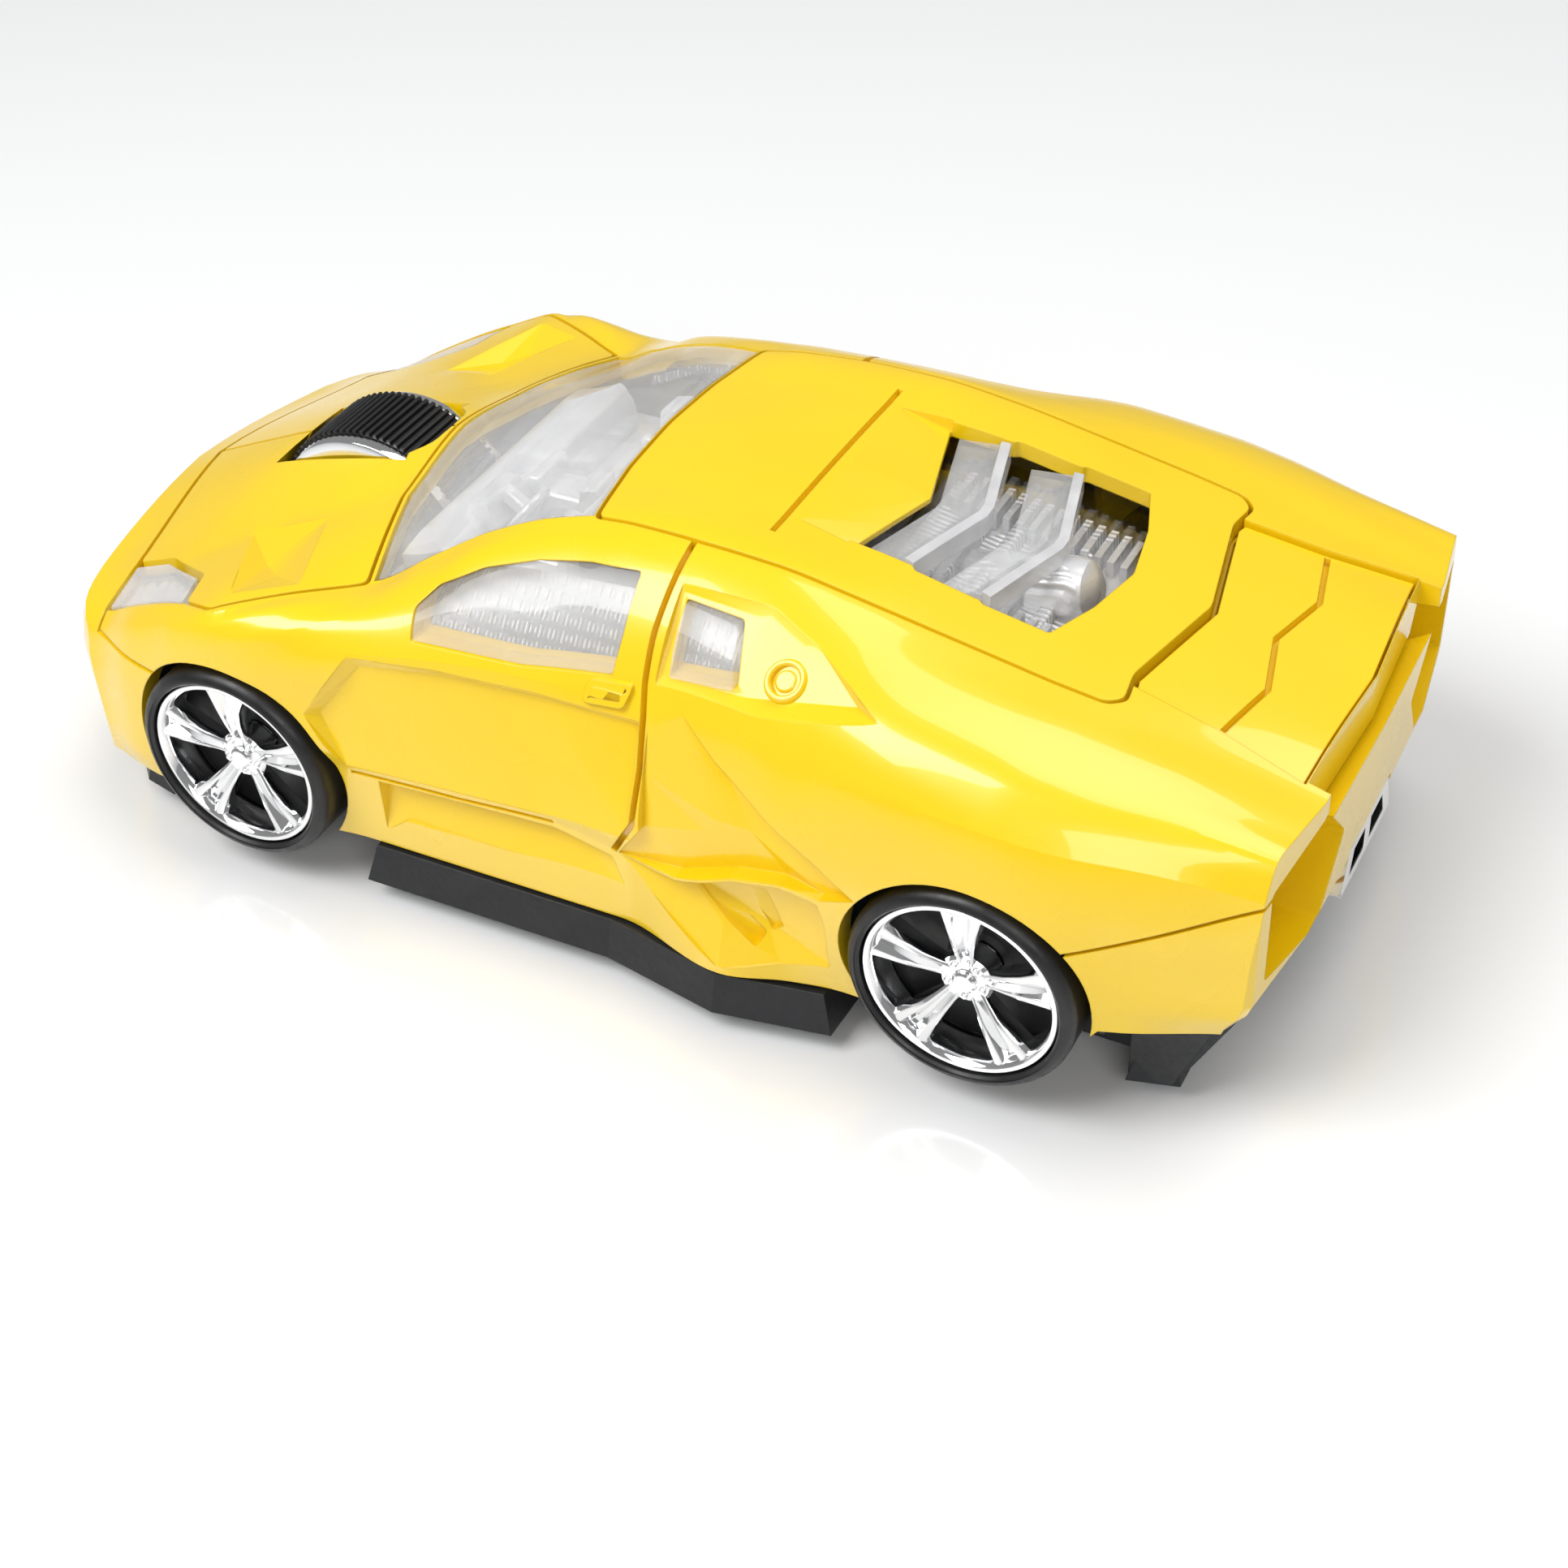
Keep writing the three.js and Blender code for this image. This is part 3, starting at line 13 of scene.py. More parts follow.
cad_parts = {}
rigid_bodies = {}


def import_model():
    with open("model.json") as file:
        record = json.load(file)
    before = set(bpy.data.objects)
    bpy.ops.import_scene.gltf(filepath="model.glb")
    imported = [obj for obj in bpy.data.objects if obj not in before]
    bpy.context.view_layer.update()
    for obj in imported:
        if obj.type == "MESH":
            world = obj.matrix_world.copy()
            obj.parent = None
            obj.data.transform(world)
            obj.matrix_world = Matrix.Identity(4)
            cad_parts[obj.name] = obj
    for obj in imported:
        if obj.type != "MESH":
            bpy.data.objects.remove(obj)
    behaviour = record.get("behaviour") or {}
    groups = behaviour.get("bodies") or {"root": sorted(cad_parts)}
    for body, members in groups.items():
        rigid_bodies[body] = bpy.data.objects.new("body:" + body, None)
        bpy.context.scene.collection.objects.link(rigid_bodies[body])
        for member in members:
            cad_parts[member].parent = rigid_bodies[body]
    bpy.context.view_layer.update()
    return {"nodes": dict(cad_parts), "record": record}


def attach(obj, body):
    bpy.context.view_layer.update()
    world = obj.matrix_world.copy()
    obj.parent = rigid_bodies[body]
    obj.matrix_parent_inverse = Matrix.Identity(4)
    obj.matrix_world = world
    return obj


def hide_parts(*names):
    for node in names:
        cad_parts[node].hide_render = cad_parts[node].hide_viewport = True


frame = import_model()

MM = 0.001
NOSE_Y, TAIL_Y = -57.0, 54.6
SHIFT_Y = -(NOSE_Y + TAIL_Y) / 2
WALL = 2.2                      # visible wall of the painted panels
SEAM = 0.32
LENS = 1.2
AXLES_Y = (-32.5, 32.5)
WHEEL_Z = 11.3
TYRE_R, RIM_R, ARCH_R = 9.1, 7.8, 9.9
WELL_X, TRACK_HALF = 18.9, 28.5
HUB_X = TRACK_HALF - 8.0
WEB_X = TRACK_HALF - 4.1
SCROLL_R, SCROLL_Y, SCROLL_Z, SCROLL_W = 10.0, -33.2, 19.2, 7.0

# ------------------------------------------------------------------ body lines, [y, x, z]

CENTRE = [
    (-58, 0, 18.4), (-55, 0, 19.7), (-47, 0, 23.2), (-40.9, 0, 25.7), (-33, 0, 28), (-25.5, 0, 29.8),
    (-20, 0, 31.5), (-14, 0, 33.2), (-9, 0, 34.3), (-4, 0, 34.9), (1, 0, 35.3), (6, 0, 35.4),
    (12, 0, 35.1), (18, 0, 34.3), (26, 0, 32.7), (34, 0, 31), (42, 0, 29.4), (58, 0, 26.2)]
CROWN = [
    (-58, 15.5, 17.4), (-52, 17, 18.8), (-47.5, 17.8, 20.6), (-43.6, 17.6, 22.2), (-38, 15.2, 24.4),
    (-33, 12.9, 26.1), (-25.5, 9.4, 28.3), (-20, 9, 30.4), (-14, 8.5, 32.5), (-9, 8.2, 33.8),
    (-4, 8, 34.7), (6, 8.3, 35.3), (18, 8.8, 34.2), (26, 9.2, 32.6), (42, 9.8, 29.3), (58, 9.5, 26.2)]
SHOULDER = [
    (-58, 19.5, 16.3), (-52.5, 21, 17.7), (-48.5, 22, 18.6), (-44, 23.5, 20.9), (-40, 24.6, 22.9),
    (-36.6, 25.4, 24.3), (-33, 26.6, 25.5), (-30, 25, 26.1), (-27, 22.9, 26.5), (-22, 19.8, 26.9),
    (-17, 17.9, 29.6), (-12.5, 16.2, 32), (-8, 14.9, 33.6), (-3.7, 14.1, 34.4), (0, 14.7, 34.8),
    (5.4, 15.3, 34.9), (12, 15.5, 34.7), (18, 15.6, 33.9), (26, 15.7, 32.4), (34, 15.7, 30.8),
    (38, 15.6, 30), (42, 15.1, 29.1), (46, 14.8, 28.2), (54.5, 14.5, 26.3), (58, 14.4, 25.6)]
RAIL = [
    (-58, 21.5, 14.8), (-52.5, 22.6, 16.2), (-48.5, 23.6, 17.2), (-44, 25, 19.7), (-40, 26, 21.6),
    (-36.6, 26.8, 23.3), (-33, 27.4, 24.6), (-30, 26.8, 25.8), (-27, 25.6, 26.4), (-22, 22.6, 26.9),
    (-17, 20.7, 28.8), (-12.5, 18.6, 31.5), (-8, 17.2, 33), (-3.7, 16.6, 33.8), (0, 16.9, 34),
    (5.4, 17.4, 33.9), (12, 17.9, 33.6), (18, 18.6, 32.9), (26, 19.6, 31.8), (34, 20.2, 30.5),
    (38, 20.2, 29.7), (46, 19.5, 28.1), (54.5, 19, 26.2), (58, 19, 25.5)]
WINDOW_MID = [
    (-58, 22.3, 13), (-52.5, 23.4, 14.6), (-48.5, 24.2, 15.6), (-44, 25.8, 18), (-40, 26.8, 20),
    (-36.6, 27.5, 22), (-33, 27.9, 23.4), (-30, 27.5, 24.8), (-27, 26.6, 25.7), (-22, 24.6, 26.5),
    (-17, 23.4, 27.4), (-12.5, 21.6, 29.3), (-8, 20.6, 30.5), (-3.7, 20.2, 31), (0, 20.3, 31.2),
    (5.4, 20.9, 31), (12, 22, 30.8), (18, 23.2, 30.4), (26, 24.6, 29.9), (34, 24.6, 29),
    (38, 24.3, 28.4), (46, 22.6, 27.4), (54.5, 21.8, 25.9), (58, 21.6, 25.2)]
BELT = [
    (-58, 22.8, 11), (-52.5, 23.9, 12.8), (-48.5, 24.7, 13.8), (-44, 26.4, 16), (-40, 27.3, 18),
    (-36.6, 27.9, 20.2), (-33, 28.1, 21.8), (-30, 28, 22.8), (-27, 27.4, 23.6), (-22, 26.2, 24.4),
    (-17, 25.4, 25), (-12.5, 24.8, 25.4), (-8, 24.4, 25.7), (0, 24, 25.8), (5.4, 24.1, 25.7),
    (12, 24.9, 26), (18, 26, 26.5), (26, 27.2, 26.5), (34, 27.3, 26.1), (38, 26.9, 25.6),
    (46, 25, 24.7), (54.5, 23.1, 23.2), (58, 22.8, 22.8)]
FLANK = [
    (-58, 23, 9), (-52.5, 24.1, 10.4), (-48.5, 25, 11), (-44, 26.7, 13), (-40, 27.5, 15),
    (-36.6, 28.1, 17), (-33, 28.3, 18.4), (-27, 27.8, 18.8), (-22, 26.9, 18.9), (-17, 26.2, 19.2),
    (-12.5, 25.9, 19.8), (-3.7, 25.6, 20.6), (5.4, 25.7, 21), (12, 26.3, 21.5), (18, 27.6, 21.8),
    (26, 28.2, 22), (34, 28.3, 21.7), (38, 28, 21.4), (46, 26, 20.7), (54.5, 23.5, 19.5), (58, 23, 19)]
WIDEST = [
    (-58, 23, 7.6), (-48.5, 25.2, 8.8), (-44, 26.8, 10), (-40, 27.5, 12), (-33, 28.3, 15),
    (-27, 28, 15.5), (-22, 27.3, 15.6), (-12.5, 26.8, 16), (-3.7, 26.8, 16.3), (5.4, 27.2, 16.5),
    (12, 27.8, 16.6), (18, 28, 17.4), (26, 28.4, 18), (34, 28.4, 18), (38, 28.1, 17.8),
    (46, 26.2, 17), (54.5, 23.7, 16), (58, 23.2, 16)]
DOOR_FOOT = [
    (-58, 22.9, 6.6), (-48.5, 25, 7.2), (-44, 26.7, 8), (-36.6, 27.6, 9.6), (-33, 27.9, 12),
    (-27, 27.4, 13.2), (-22, 26.6, 13.3), (-12, 26.3, 13.5), (-3, 26.2, 13.9), (3, 26.4, 13),
    (8, 27.4, 12.2), (12.5, 28.4, 11.6), (18, 27.6, 12.6), (26, 27.9, 13), (34, 28.1, 13),
    (38, 27.8, 13), (46, 26.1, 12.8), (54.5, 23.6, 12.8), (58, 23, 12.8)]
SILL = [
    (-58, 22.5, 5.5), (-49, 24.5, 5.5), (-42, 26.5, 5.8), (-33, 27, 5.6), (-21, 25.6, 5.4),
    (2.2, 25.6, 5.4), (12.5, 28.3, 5.6), (18, 26.8, 5.6), (22.2, 26.2, 5.6), (33, 27, 6),
    (41, 26.9, 8), (43, 26.6, 10.3), (51, 23.4, 10.4), (58, 21, 10.4)]
LINES = [CENTRE, CROWN, SHOULDER, RAIL, WINDOW_MID, BELT, FLANK, WIDEST, DOOR_FOOT, SILL]

# How sharply the body bends at a line, as [y, sharpness] knots.
CREASE = {
    1: [(-58, 1), (-26, 1), (-19, 0), (58, 0)],
    2: [(-58, 0.9), (-24, 0.9), (-14, 0.25), (58, 0.4)],
    5: [(-58, 0), (-24, 0), (-14, 0.5), (5, 0.5), (20, 0.2), (58, 0.8)],
    6: [(-58, 0), (-22, 0.2), (-14, 0.9), (5, 0.9), (12, 0), (58, 0)],
    8: [(-58, 0), (-24, 0.4), (-16, 1), (14, 1), (24, 0), (58, 0.3)]}

# ------------------------------------------------------------------ curves


def smooth(knots, at):
    """A smooth value through (position, value) knots that never overshoots them."""
    if at <= knots[0][0]:
        return knots[0][1]
    if at >= knots[-1][0]:
        return knots[-1][1]
    i = max(k for k in range(len(knots) - 1) if knots[k][0] <= at)

    def slope(k):
        return (knots[k + 1][1] - knots[k][1]) / (knots[k + 1][0] - knots[k][0])

    def tangent(k):
        if k == 0:
            return slope(0)
        if k == len(knots) - 1:
            return slope(k - 1)
        a, b = slope(k - 1), slope(k)
        return 0 if a * b <= 0 else 2 * a * b / (a + b)

    span = knots[i + 1][0] - knots[i][0]
    t = (at - knots[i][0]) / span
    h = (1 - t) ** 2
    return ((1 + 2 * t) * h * knots[i][1] + t * h * span * tangent(i)
            + t * t * (3 - 2 * t) * knots[i + 1][1] - t * t * (1 - t) * span * tangent(i + 1))


def on_line(line, y):
    return Vector((smooth([(p[0], p[1]) for p in line], y), smooth([(p[0], p[2]) for p in line], y)))


def inset(points, depth):
    """The half section's control points, moved inwards."""
    moved = []
    for i, p in enumerate(points):
        before = Vector((-points[1].x, points[1].y)) if i == 0 else points[i - 1]
        after = p + Vector((0, -1)) if i == len(points) - 1 else points[i + 1]
        along = (after - before).normalized()
        moved.append(Vector((max(p.x + along.y * depth, 0.0), p.y - along.x * depth)))
    return moved


def fine_half(y, depth, steps):
    """The half section at y as a fine curve in (x, z), from the centre line to the sill."""
    knots = inset([on_line(line, y) for line in LINES], depth)
    if depth > 0:
        knots[-1] = knots[-1] - Vector((0, 6))
    chords = [(b - a).length for a, b in zip(knots, knots[1:])]
    slopes = [(b - a) / c for a, b, c in zip(knots, knots[1:], chords)]
    curve = []
    for i, chord in enumerate(chords):
        ends = []
        for k, own in ((i, slopes[i]), (i + 1, slopes[i])):
            if k == 0:
                mean = Vector((1, 0))
            elif k == len(chords):
                mean = own
            else:
                mean = (slopes[k - 1] * chords[k] + slopes[k] * chords[k - 1]) / (chords[k - 1] + chords[k])
            sharp = smooth(CREASE[k], y) if k in CREASE else 0
            ends.append(mean.lerp(own, sharp))
        for s in range(steps):
            t = s / steps
            h = (1 - t) ** 2
            curve.append((1 + 2 * t) * h * knots[i] + t * h * chord * ends[0]
                         + t * t * (3 - 2 * t) * knots[i + 1] - t * t * (1 - t) * chord * ends[1])
    curve.append(knots[-1])
    return curve


def stations(step):
    count = round(116 / step)
    return [-58 + 116 * i / count for i in range(count + 1)]


# ------------------------------------------------------------------ solids


def mesh_from(points, faces):
    mesh = bpy.data.meshes.new("work")
    work = bmesh.new()
    corners = [work.verts.new(p) for p in points]
    for face in faces:
        work.faces.new([corners[i] for i in face])
    bmesh.ops.recalc_face_normals(work, faces=work.faces)
    work.to_mesh(mesh)
    work.free()
    return mesh


def loft(rings):
    count = len(rings[0])
    faces = []
    for r in range(len(rings) - 1):
        for i in range(count):
            j = (i + 1) % count
            faces.append((r * count + i, r * count + j, (r + 1) * count + j, (r + 1) * count + i))
    faces.append(tuple(range(count)))
    faces.append(tuple((len(rings) - 1) * count + i for i in range(count)))
    return mesh_from([p for ring in rings for p in ring], faces)


def combine(operation, base, *tools):
    """base after a boolean with each tool in turn."""
    scene = bpy.context.scene.collection.objects
    holder = bpy.data.objects.new("work", base)
    scene.link(holder)
    others = []
    for tool in tools:
        other = bpy.data.objects.new("tool", tool)
        scene.link(other)
        others.append(other)
        step = holder.modifiers.new("step", "BOOLEAN")
        step.operation = operation
        step.solver = "MANIFOLD"
        step.object = other
    graph = bpy.context.evaluated_depsgraph_get()
    result = bpy.data.meshes.new_from_object(holder.evaluated_get(graph))
    for thing in [holder, *others]:
        bpy.data.objects.remove(thing)
    return result


def cut(base, *tools):
    return combine("DIFFERENCE", base, *tools)


def join(base, *tools):
    return combine("UNION", base, *tools)


def meet(base, *tools):
    return combine("INTERSECT", base, *tools)


def across_x(outline, x0, x1):
    return loft([[(x, y, z) for y, z in outline] for x in (x0, x1)])


def along_y(outline, y0, y1):
    return loft([[(x, y, z) for x, z in outline] for y in (y0, y1)])


def up_z(outline, z0, z1):
    return loft([[(x, y, z) for x, y in outline] for z in (z0, z1)])


def box(x0, x1, y0, y1, z0, z1):
    return up_z([(x0, y0), (x1, y0), (x1, y1), (x0, y1)], z0, z1)


def lathe(profile, segments=64):
    """A closed profile of (radius, x) points turned about the X axis; radius 0 points share one vertex."""
    points, rings = [], []
    for r, x in profile:
        if r < 1e-6:
            rings.append([len(points)] * segments)
            points.append((x, 0, 0))
            continue
        rings.append(list(range(len(points), len(points) + segments)))
        for i in range(segments):
            a = 2 * math.pi * i / segments
            points.append((x, r * math.cos(a), r * math.sin(a)))
    faces = []
    for a, b in zip(rings, rings[1:] + rings[:1]):
        for i in range(segments):
            j = (i + 1) % segments
            face = []
            for v in (a[i], a[j], b[j], b[i]):
                if v not in face:
                    face.append(v)
            if len(face) > 2:
                faces.append(tuple(face))
    return mesh_from(points, faces)


def soft_box(x0, x1, y0, y1, z0, z1, radius=0.4):
    mesh = box(x0, x1, y0, y1, z0, z1)
    work = bmesh.new()
    work.from_mesh(mesh)
    bmesh.ops.bevel(work, geom=work.edges[:], offset=radius, segments=3, affect="EDGES", profile=0.5)
    work.to_mesh(mesh)
    work.free()
    return mesh


def moved(mesh, matrix):
    mesh.transform(matrix)
    if matrix.determinant() < 0:
        mesh.flip_normals()
    return mesh


def mirrored(mesh):
    return moved(mesh.copy(), Matrix.Scale(-1, 4, (1, 0, 0)))


def both(mesh):
    return [mesh, mirrored(mesh)]


def symmetric(half):
    whole = list(half) + [(-x, y) for x, y in reversed(half) if x > 0]
    kept = []
    for i, (x, y) in enumerate(whole):
        (bx, by), (ax, ay) = whole[i - 1], whole[(i + 1) % len(whole)]
        if abs((x - bx) * (ay - y) - (y - by) * (ax - x)) > 1e-6:
            kept.append((x, y))
    return kept


def offset(outline, distance):
    """Moves a closed outline along its outward normals."""
    area = sum(a[0] * b[1] - b[0] * a[1] for a, b in zip(outline, outline[1:] + outline[:1]))
    way = distance if area > 0 else -distance
    out = []
    for i, point in enumerate(outline):
        p = Vector(point)
        a = (p - Vector(outline[i - 1])).normalized()
        b = (Vector(outline[(i + 1) % len(outline)]) - p).normalized()
        normal = Vector((a.y + b.y, -a.x - b.x)).normalized()
        reach = way / max(normal.dot(Vector((a.y, -a.x))), 0.5)
        out.append((p.x + normal.x * reach, p.y + normal.y * reach))
    return out


def rounded(outline, radius, steps=4):
    """A closed outline with its corners rounded."""
    out = []
    for i, point in enumerate(outline):
        p = Vector(point)
        a, b = Vector(outline[i - 1]) - p, Vector(outline[(i + 1) % len(outline)]) - p
        reach = min(radius, a.length * 0.45, b.length * 0.45)
        a, b = p + a.normalized() * reach, p + b.normalized() * reach
        for s in range(steps + 1):
            t = s / steps
            q = (1 - t) ** 2 * a + 2 * t * (1 - t) * p + t * t * b
            out.append((q.x, q.y))
    return out


def stroke(path, width):
    sides = []
    for side in (1, -1):
        row = []
        for i, (x, y) in enumerate(path):
            before, after = Vector(path[max(i - 1, 0)]), Vector(path[min(i + 1, len(path) - 1)])
            along = (after - before).normalized()
            row.append((x - along.y * side * width / 2, y + along.x * side * width / 2))
        sides.append(row)
    return sides[0] + sides[1][::-1]


# ------------------------------------------------------------------ the body form

PLAN = [
    (0, [(0, 0.9), (8, 1.6), (17.5, 3.5), (20.8, 5), (24.6, 8.2)], [(0, 2.4), (10, 2.6), (23.6, 4.2)]),
    (10.2, [(0, 0.3), (8, 1), (18, 3), (21.2, 4.4), (24.8, 8)], [(0, 2.2), (10, 2.4), (23.6, 3.8)]),
    (14, [(0, 0), (8, 0.8), (18, 2.8), (21.4, 4.3), (25, 8.2)], [(0, 0.3), (14.6, 0.5), (23.6, 1.6)]),
    (26, [(0, 3.6), (8, 4.7), (17.8, 6.6), (20.6, 8), (24, 13)], [(0, 0), (14.6, 0.2), (23.6, 1.5)]),
    (40, [(0, 3.6), (8, 4.7), (17.8, 6.6), (20.6, 8), (24, 13)], [(0, 0), (14.6, 0.2), (23.6, 1.5)])]
PLAN_HALF = 32
NOSE_STEPS = 20


def plan_at(z):
    """Nose and tail set-backs at a height, as (x, back) lists."""
    rows = []
    for end in (1, 2):
        count = len(PLAN[0][end])
        rows.append([tuple(smooth([(level[0], level[end][k][c]) for level in PLAN], z) for c in (0, 1))
                     for k in range(count)])
    return rows


def end_faces(depth):
    rings = []
    for z in [0, 4, 8, 10.2, 11, 12, 13, 14, 15, 16.5, 18, 20, 22, 24, 26, 40]:
        nose, tail = plan_at(z)
        reach = nose[-1][0]
        half = [(reach * i / NOSE_STEPS, NOSE_Y + smooth(nose, reach * i / NOSE_STEPS) + depth)
                for i in range(NOSE_STEPS + 1)]
        half += [(PLAN_HALF, NOSE_Y + nose[-1][1] + 8 + depth),
                 (PLAN_HALF, TAIL_Y - tail[-1][1] - 6 - depth)]
        half += [(x, TAIL_Y - back - depth) for x, back in reversed(tail)]
        whole = half + [(-x, y) for x, y in reversed(half) if x > 0]
        rings.append([(x, y, z) for x, y in whole])
    return loft(rings)


def body_form(depth, step=0.8, steps=7):
    rings = []
    for y in stations(step):
        half = fine_half(y, depth, steps)
        rings.append([(p.x, y, p.y) for p in reversed(half)] + [(-p.x, y, p.y) for p in half[1:]])
    return meet(loft(rings), end_faces(depth))


FORMS = {}


def below(depth):
    """A fresh copy of everything deeper than depth under the surface."""
    if depth not in FORMS:
        fine = depth < 0.5
        FORMS[depth] = body_form(depth, 0.8 if fine else 1.6, 7 if fine else 4)
    return FORMS[depth].copy()


def layer(top, bottom):
    return cut(below(top), below(bottom))


HALVES = {}


def side_x(y, z, depth=0.0):
    """How far out the body's side is at (y, z)."""
    key = round(y, 2)
    if key not in HALVES:
        HALVES[key] = fine_half(y, 0, 7)
    half = HALVES[key]
    for a, b in zip(half[::-1], half[-2::-1]):
        if min(a.y, b.y) <= z <= max(a.y, b.y) and abs(b.y - a.y) > 1e-6:
            return a.x + (b.x - a.x) * (z - a.y) / (b.y - a.y) - depth
    return half[-1].x - depth


def top_z(x, y, depth=0.0):
    """How high the body's top is at (x, y)."""
    half, x = fine_half(y, 0, 7), abs(x)
    for a, b in zip(half, half[1:]):
        if a.x <= x <= b.x:
            return a.y + (b.y - a.y) * (x - a.x) / max(b.x - a.x, 1e-6) - depth
    return half[-1].y


def facets(corners, polygons, side=True):
    """A cutting tool whose floor has straight-edged facets; corners are (y, z, depth) or (x, y, depth)."""
    if side:
        floor = [(side_x(y, z, d), y, z) for y, z, d in corners]
        top = [(40, y, z) for y, z, _ in corners]
    else:
        floor = [(x, y, top_z(x, y, d)) for x, y, d in corners]
        top = [(x, y, 45) for x, y, _ in corners]
    count = len(corners)
    faces, edges = [], {}
    for polygon in polygons:
        for k in range(1, len(polygon) - 1):
            triangle = (polygon[0], polygon[k], polygon[k + 1])
            faces.append(triangle)
            faces.append(tuple(v + count for v in triangle))
            for a, b in zip(triangle, triangle[1:] + triangle[:1]):
                edges[frozenset((a, b))] = edges.get(frozenset((a, b)), 0) + 1
    for edge, uses in edges.items():
        if uses == 1:
            a, b = edge
            faces.append((a, b, b + count, a + count))
    return mesh_from(floor + top, faces)


# ------------------------------------------------------------------ materials


def node_material(name):
    material = bpy.data.materials.new(name)
    material.use_nodes = True
    nodes, links = material.node_tree.nodes, material.node_tree.links
    return material, nodes, links, nodes["Principled BSDF"]


def setting(shader, **values):
    for key, value in values.items():
        shader.inputs[key.replace("_", " ")].default_value = value


def noise(nodes, links, scale, detail=4.0, roughness=0.5):
    where = nodes.new("ShaderNodeTexCoord")
    texture = nodes.new("ShaderNodeTexNoise")
    texture.inputs["Scale"].default_value = scale
    texture.inputs["Detail"].default_value = detail
    texture.inputs["Roughness"].default_value = roughness
    links.new(where.outputs["Object"], texture.inputs["Vector"])
    return texture.outputs["Fac"]


def ramp(nodes, links, value, low, high, span=(0.35, 0.65)):
    """Maps a 0 to 1 value onto two colours or two grey levels."""
    mapped = nodes.new("ShaderNodeValToRGB")
    for element, at, colour in zip(mapped.color_ramp.elements, span, (low, high)):
        element.position = at
        element.color = colour if isinstance(colour, tuple) else (colour, colour, colour, 1)
    links.new(value, mapped.inputs["Fac"])
    return mapped.outputs["Color"]


def blend(nodes, links, shader, socket, source, *stops):
    """Drives a socket of the shader from a source through a ramp."""
    links.new(ramp(nodes, links, source, *stops), shader.inputs[socket])


def surface_detail(nodes, links, shader, height, strength, distance, edge):
    """A bump on top of softly rounded edges."""
    rounding = nodes.new("ShaderNodeBevel")
    rounding.samples = 4
    rounding.inputs["Radius"].default_value = edge
    bump = nodes.new("ShaderNodeBump")
    bump.inputs["Strength"].default_value = strength
    bump.inputs["Distance"].default_value = distance
    links.new(height, bump.inputs["Height"])
    links.new(rounding.outputs["Normal"], bump.inputs["Normal"])
    links.new(bump.outputs["Normal"], shader.inputs["Normal"])


def paint_material():
    material, nodes, links, shader = node_material("lacquer_yellow")
    setting(shader, IOR=1.5, Coat_Weight=0.6, Coat_Roughness=0.04, Coat_IOR=1.5)
    tint = noise(nodes, links, 60, 3)
    blend(nodes, links, shader, "Base Color", tint, (0.86, 0.575, 0.003, 1), (0.88, 0.595, 0.004, 1))
    blend(nodes, links, shader, "Roughness", noise(nodes, links, 90, 2), 0.26, 0.3)
    surface_detail(nodes, links, shader, noise(nodes, links, 500, 2), 0.004, 0.0001, 0.00018)
    return material


def black_material(name, base, rough, grain, strength, edge=0.00015):
    material, nodes, links, shader = node_material(name)
    setting(shader, IOR=1.48)
    mottled = noise(nodes, links, grain * 0.2, 4)
    darker = tuple(c * 0.75 for c in base) + (1,)
    blend(nodes, links, shader, "Base Color", mottled, darker, tuple(base) + (1,))
    blend(nodes, links, shader, "Roughness", noise(nodes, links, grain, 3), rough - 0.07, rough + 0.07)
    surface_detail(nodes, links, shader, noise(nodes, links, grain, 4), strength, 0.00006, edge)
    return material


def plated_material(name, base, rough, strength, scale):
    material, nodes, links, shader = node_material(name)
    setting(shader, Metallic=1.0)
    blend(nodes, links, shader, "Base Color", noise(nodes, links, scale * 0.5, 3),
          tuple(c * 0.93 for c in base) + (1,), tuple(base) + (1,))
    blend(nodes, links, shader, "Roughness", noise(nodes, links, scale, 3), rough, rough + 0.05)
    surface_detail(nodes, links, shader, noise(nodes, links, scale, 3), strength, 0.0001, 0.00012)
    return material


def silvered_material(name, metal, rough):
    """Thin vacuum plating over white plastic: it stays light where a mirror would go dark."""
    material, nodes, links, shader = node_material(name)
    setting(shader, Metallic=metal, IOR=1.6, Coat_Weight=0.5, Coat_Roughness=0.05)
    blend(nodes, links, shader, "Base Color", noise(nodes, links, 350, 3), (0.8, 0.8, 0.82, 1),
          (0.9, 0.9, 0.91, 1))
    blend(nodes, links, shader, "Roughness", noise(nodes, links, 700, 3), rough, rough + 0.06)
    surface_detail(nodes, links, shader, noise(nodes, links, 500, 3), 0.05, 0.0001, 0.00015)
    return material


def maths(nodes, links, operation, *values):
    node = nodes.new("ShaderNodeMath")
    node.operation = operation
    for k, value in enumerate(values):
        if isinstance(value, (int, float)):
            node.inputs[k].default_value = value
        else:
            links.new(value, node.inputs[k])
    return node.outputs[0]


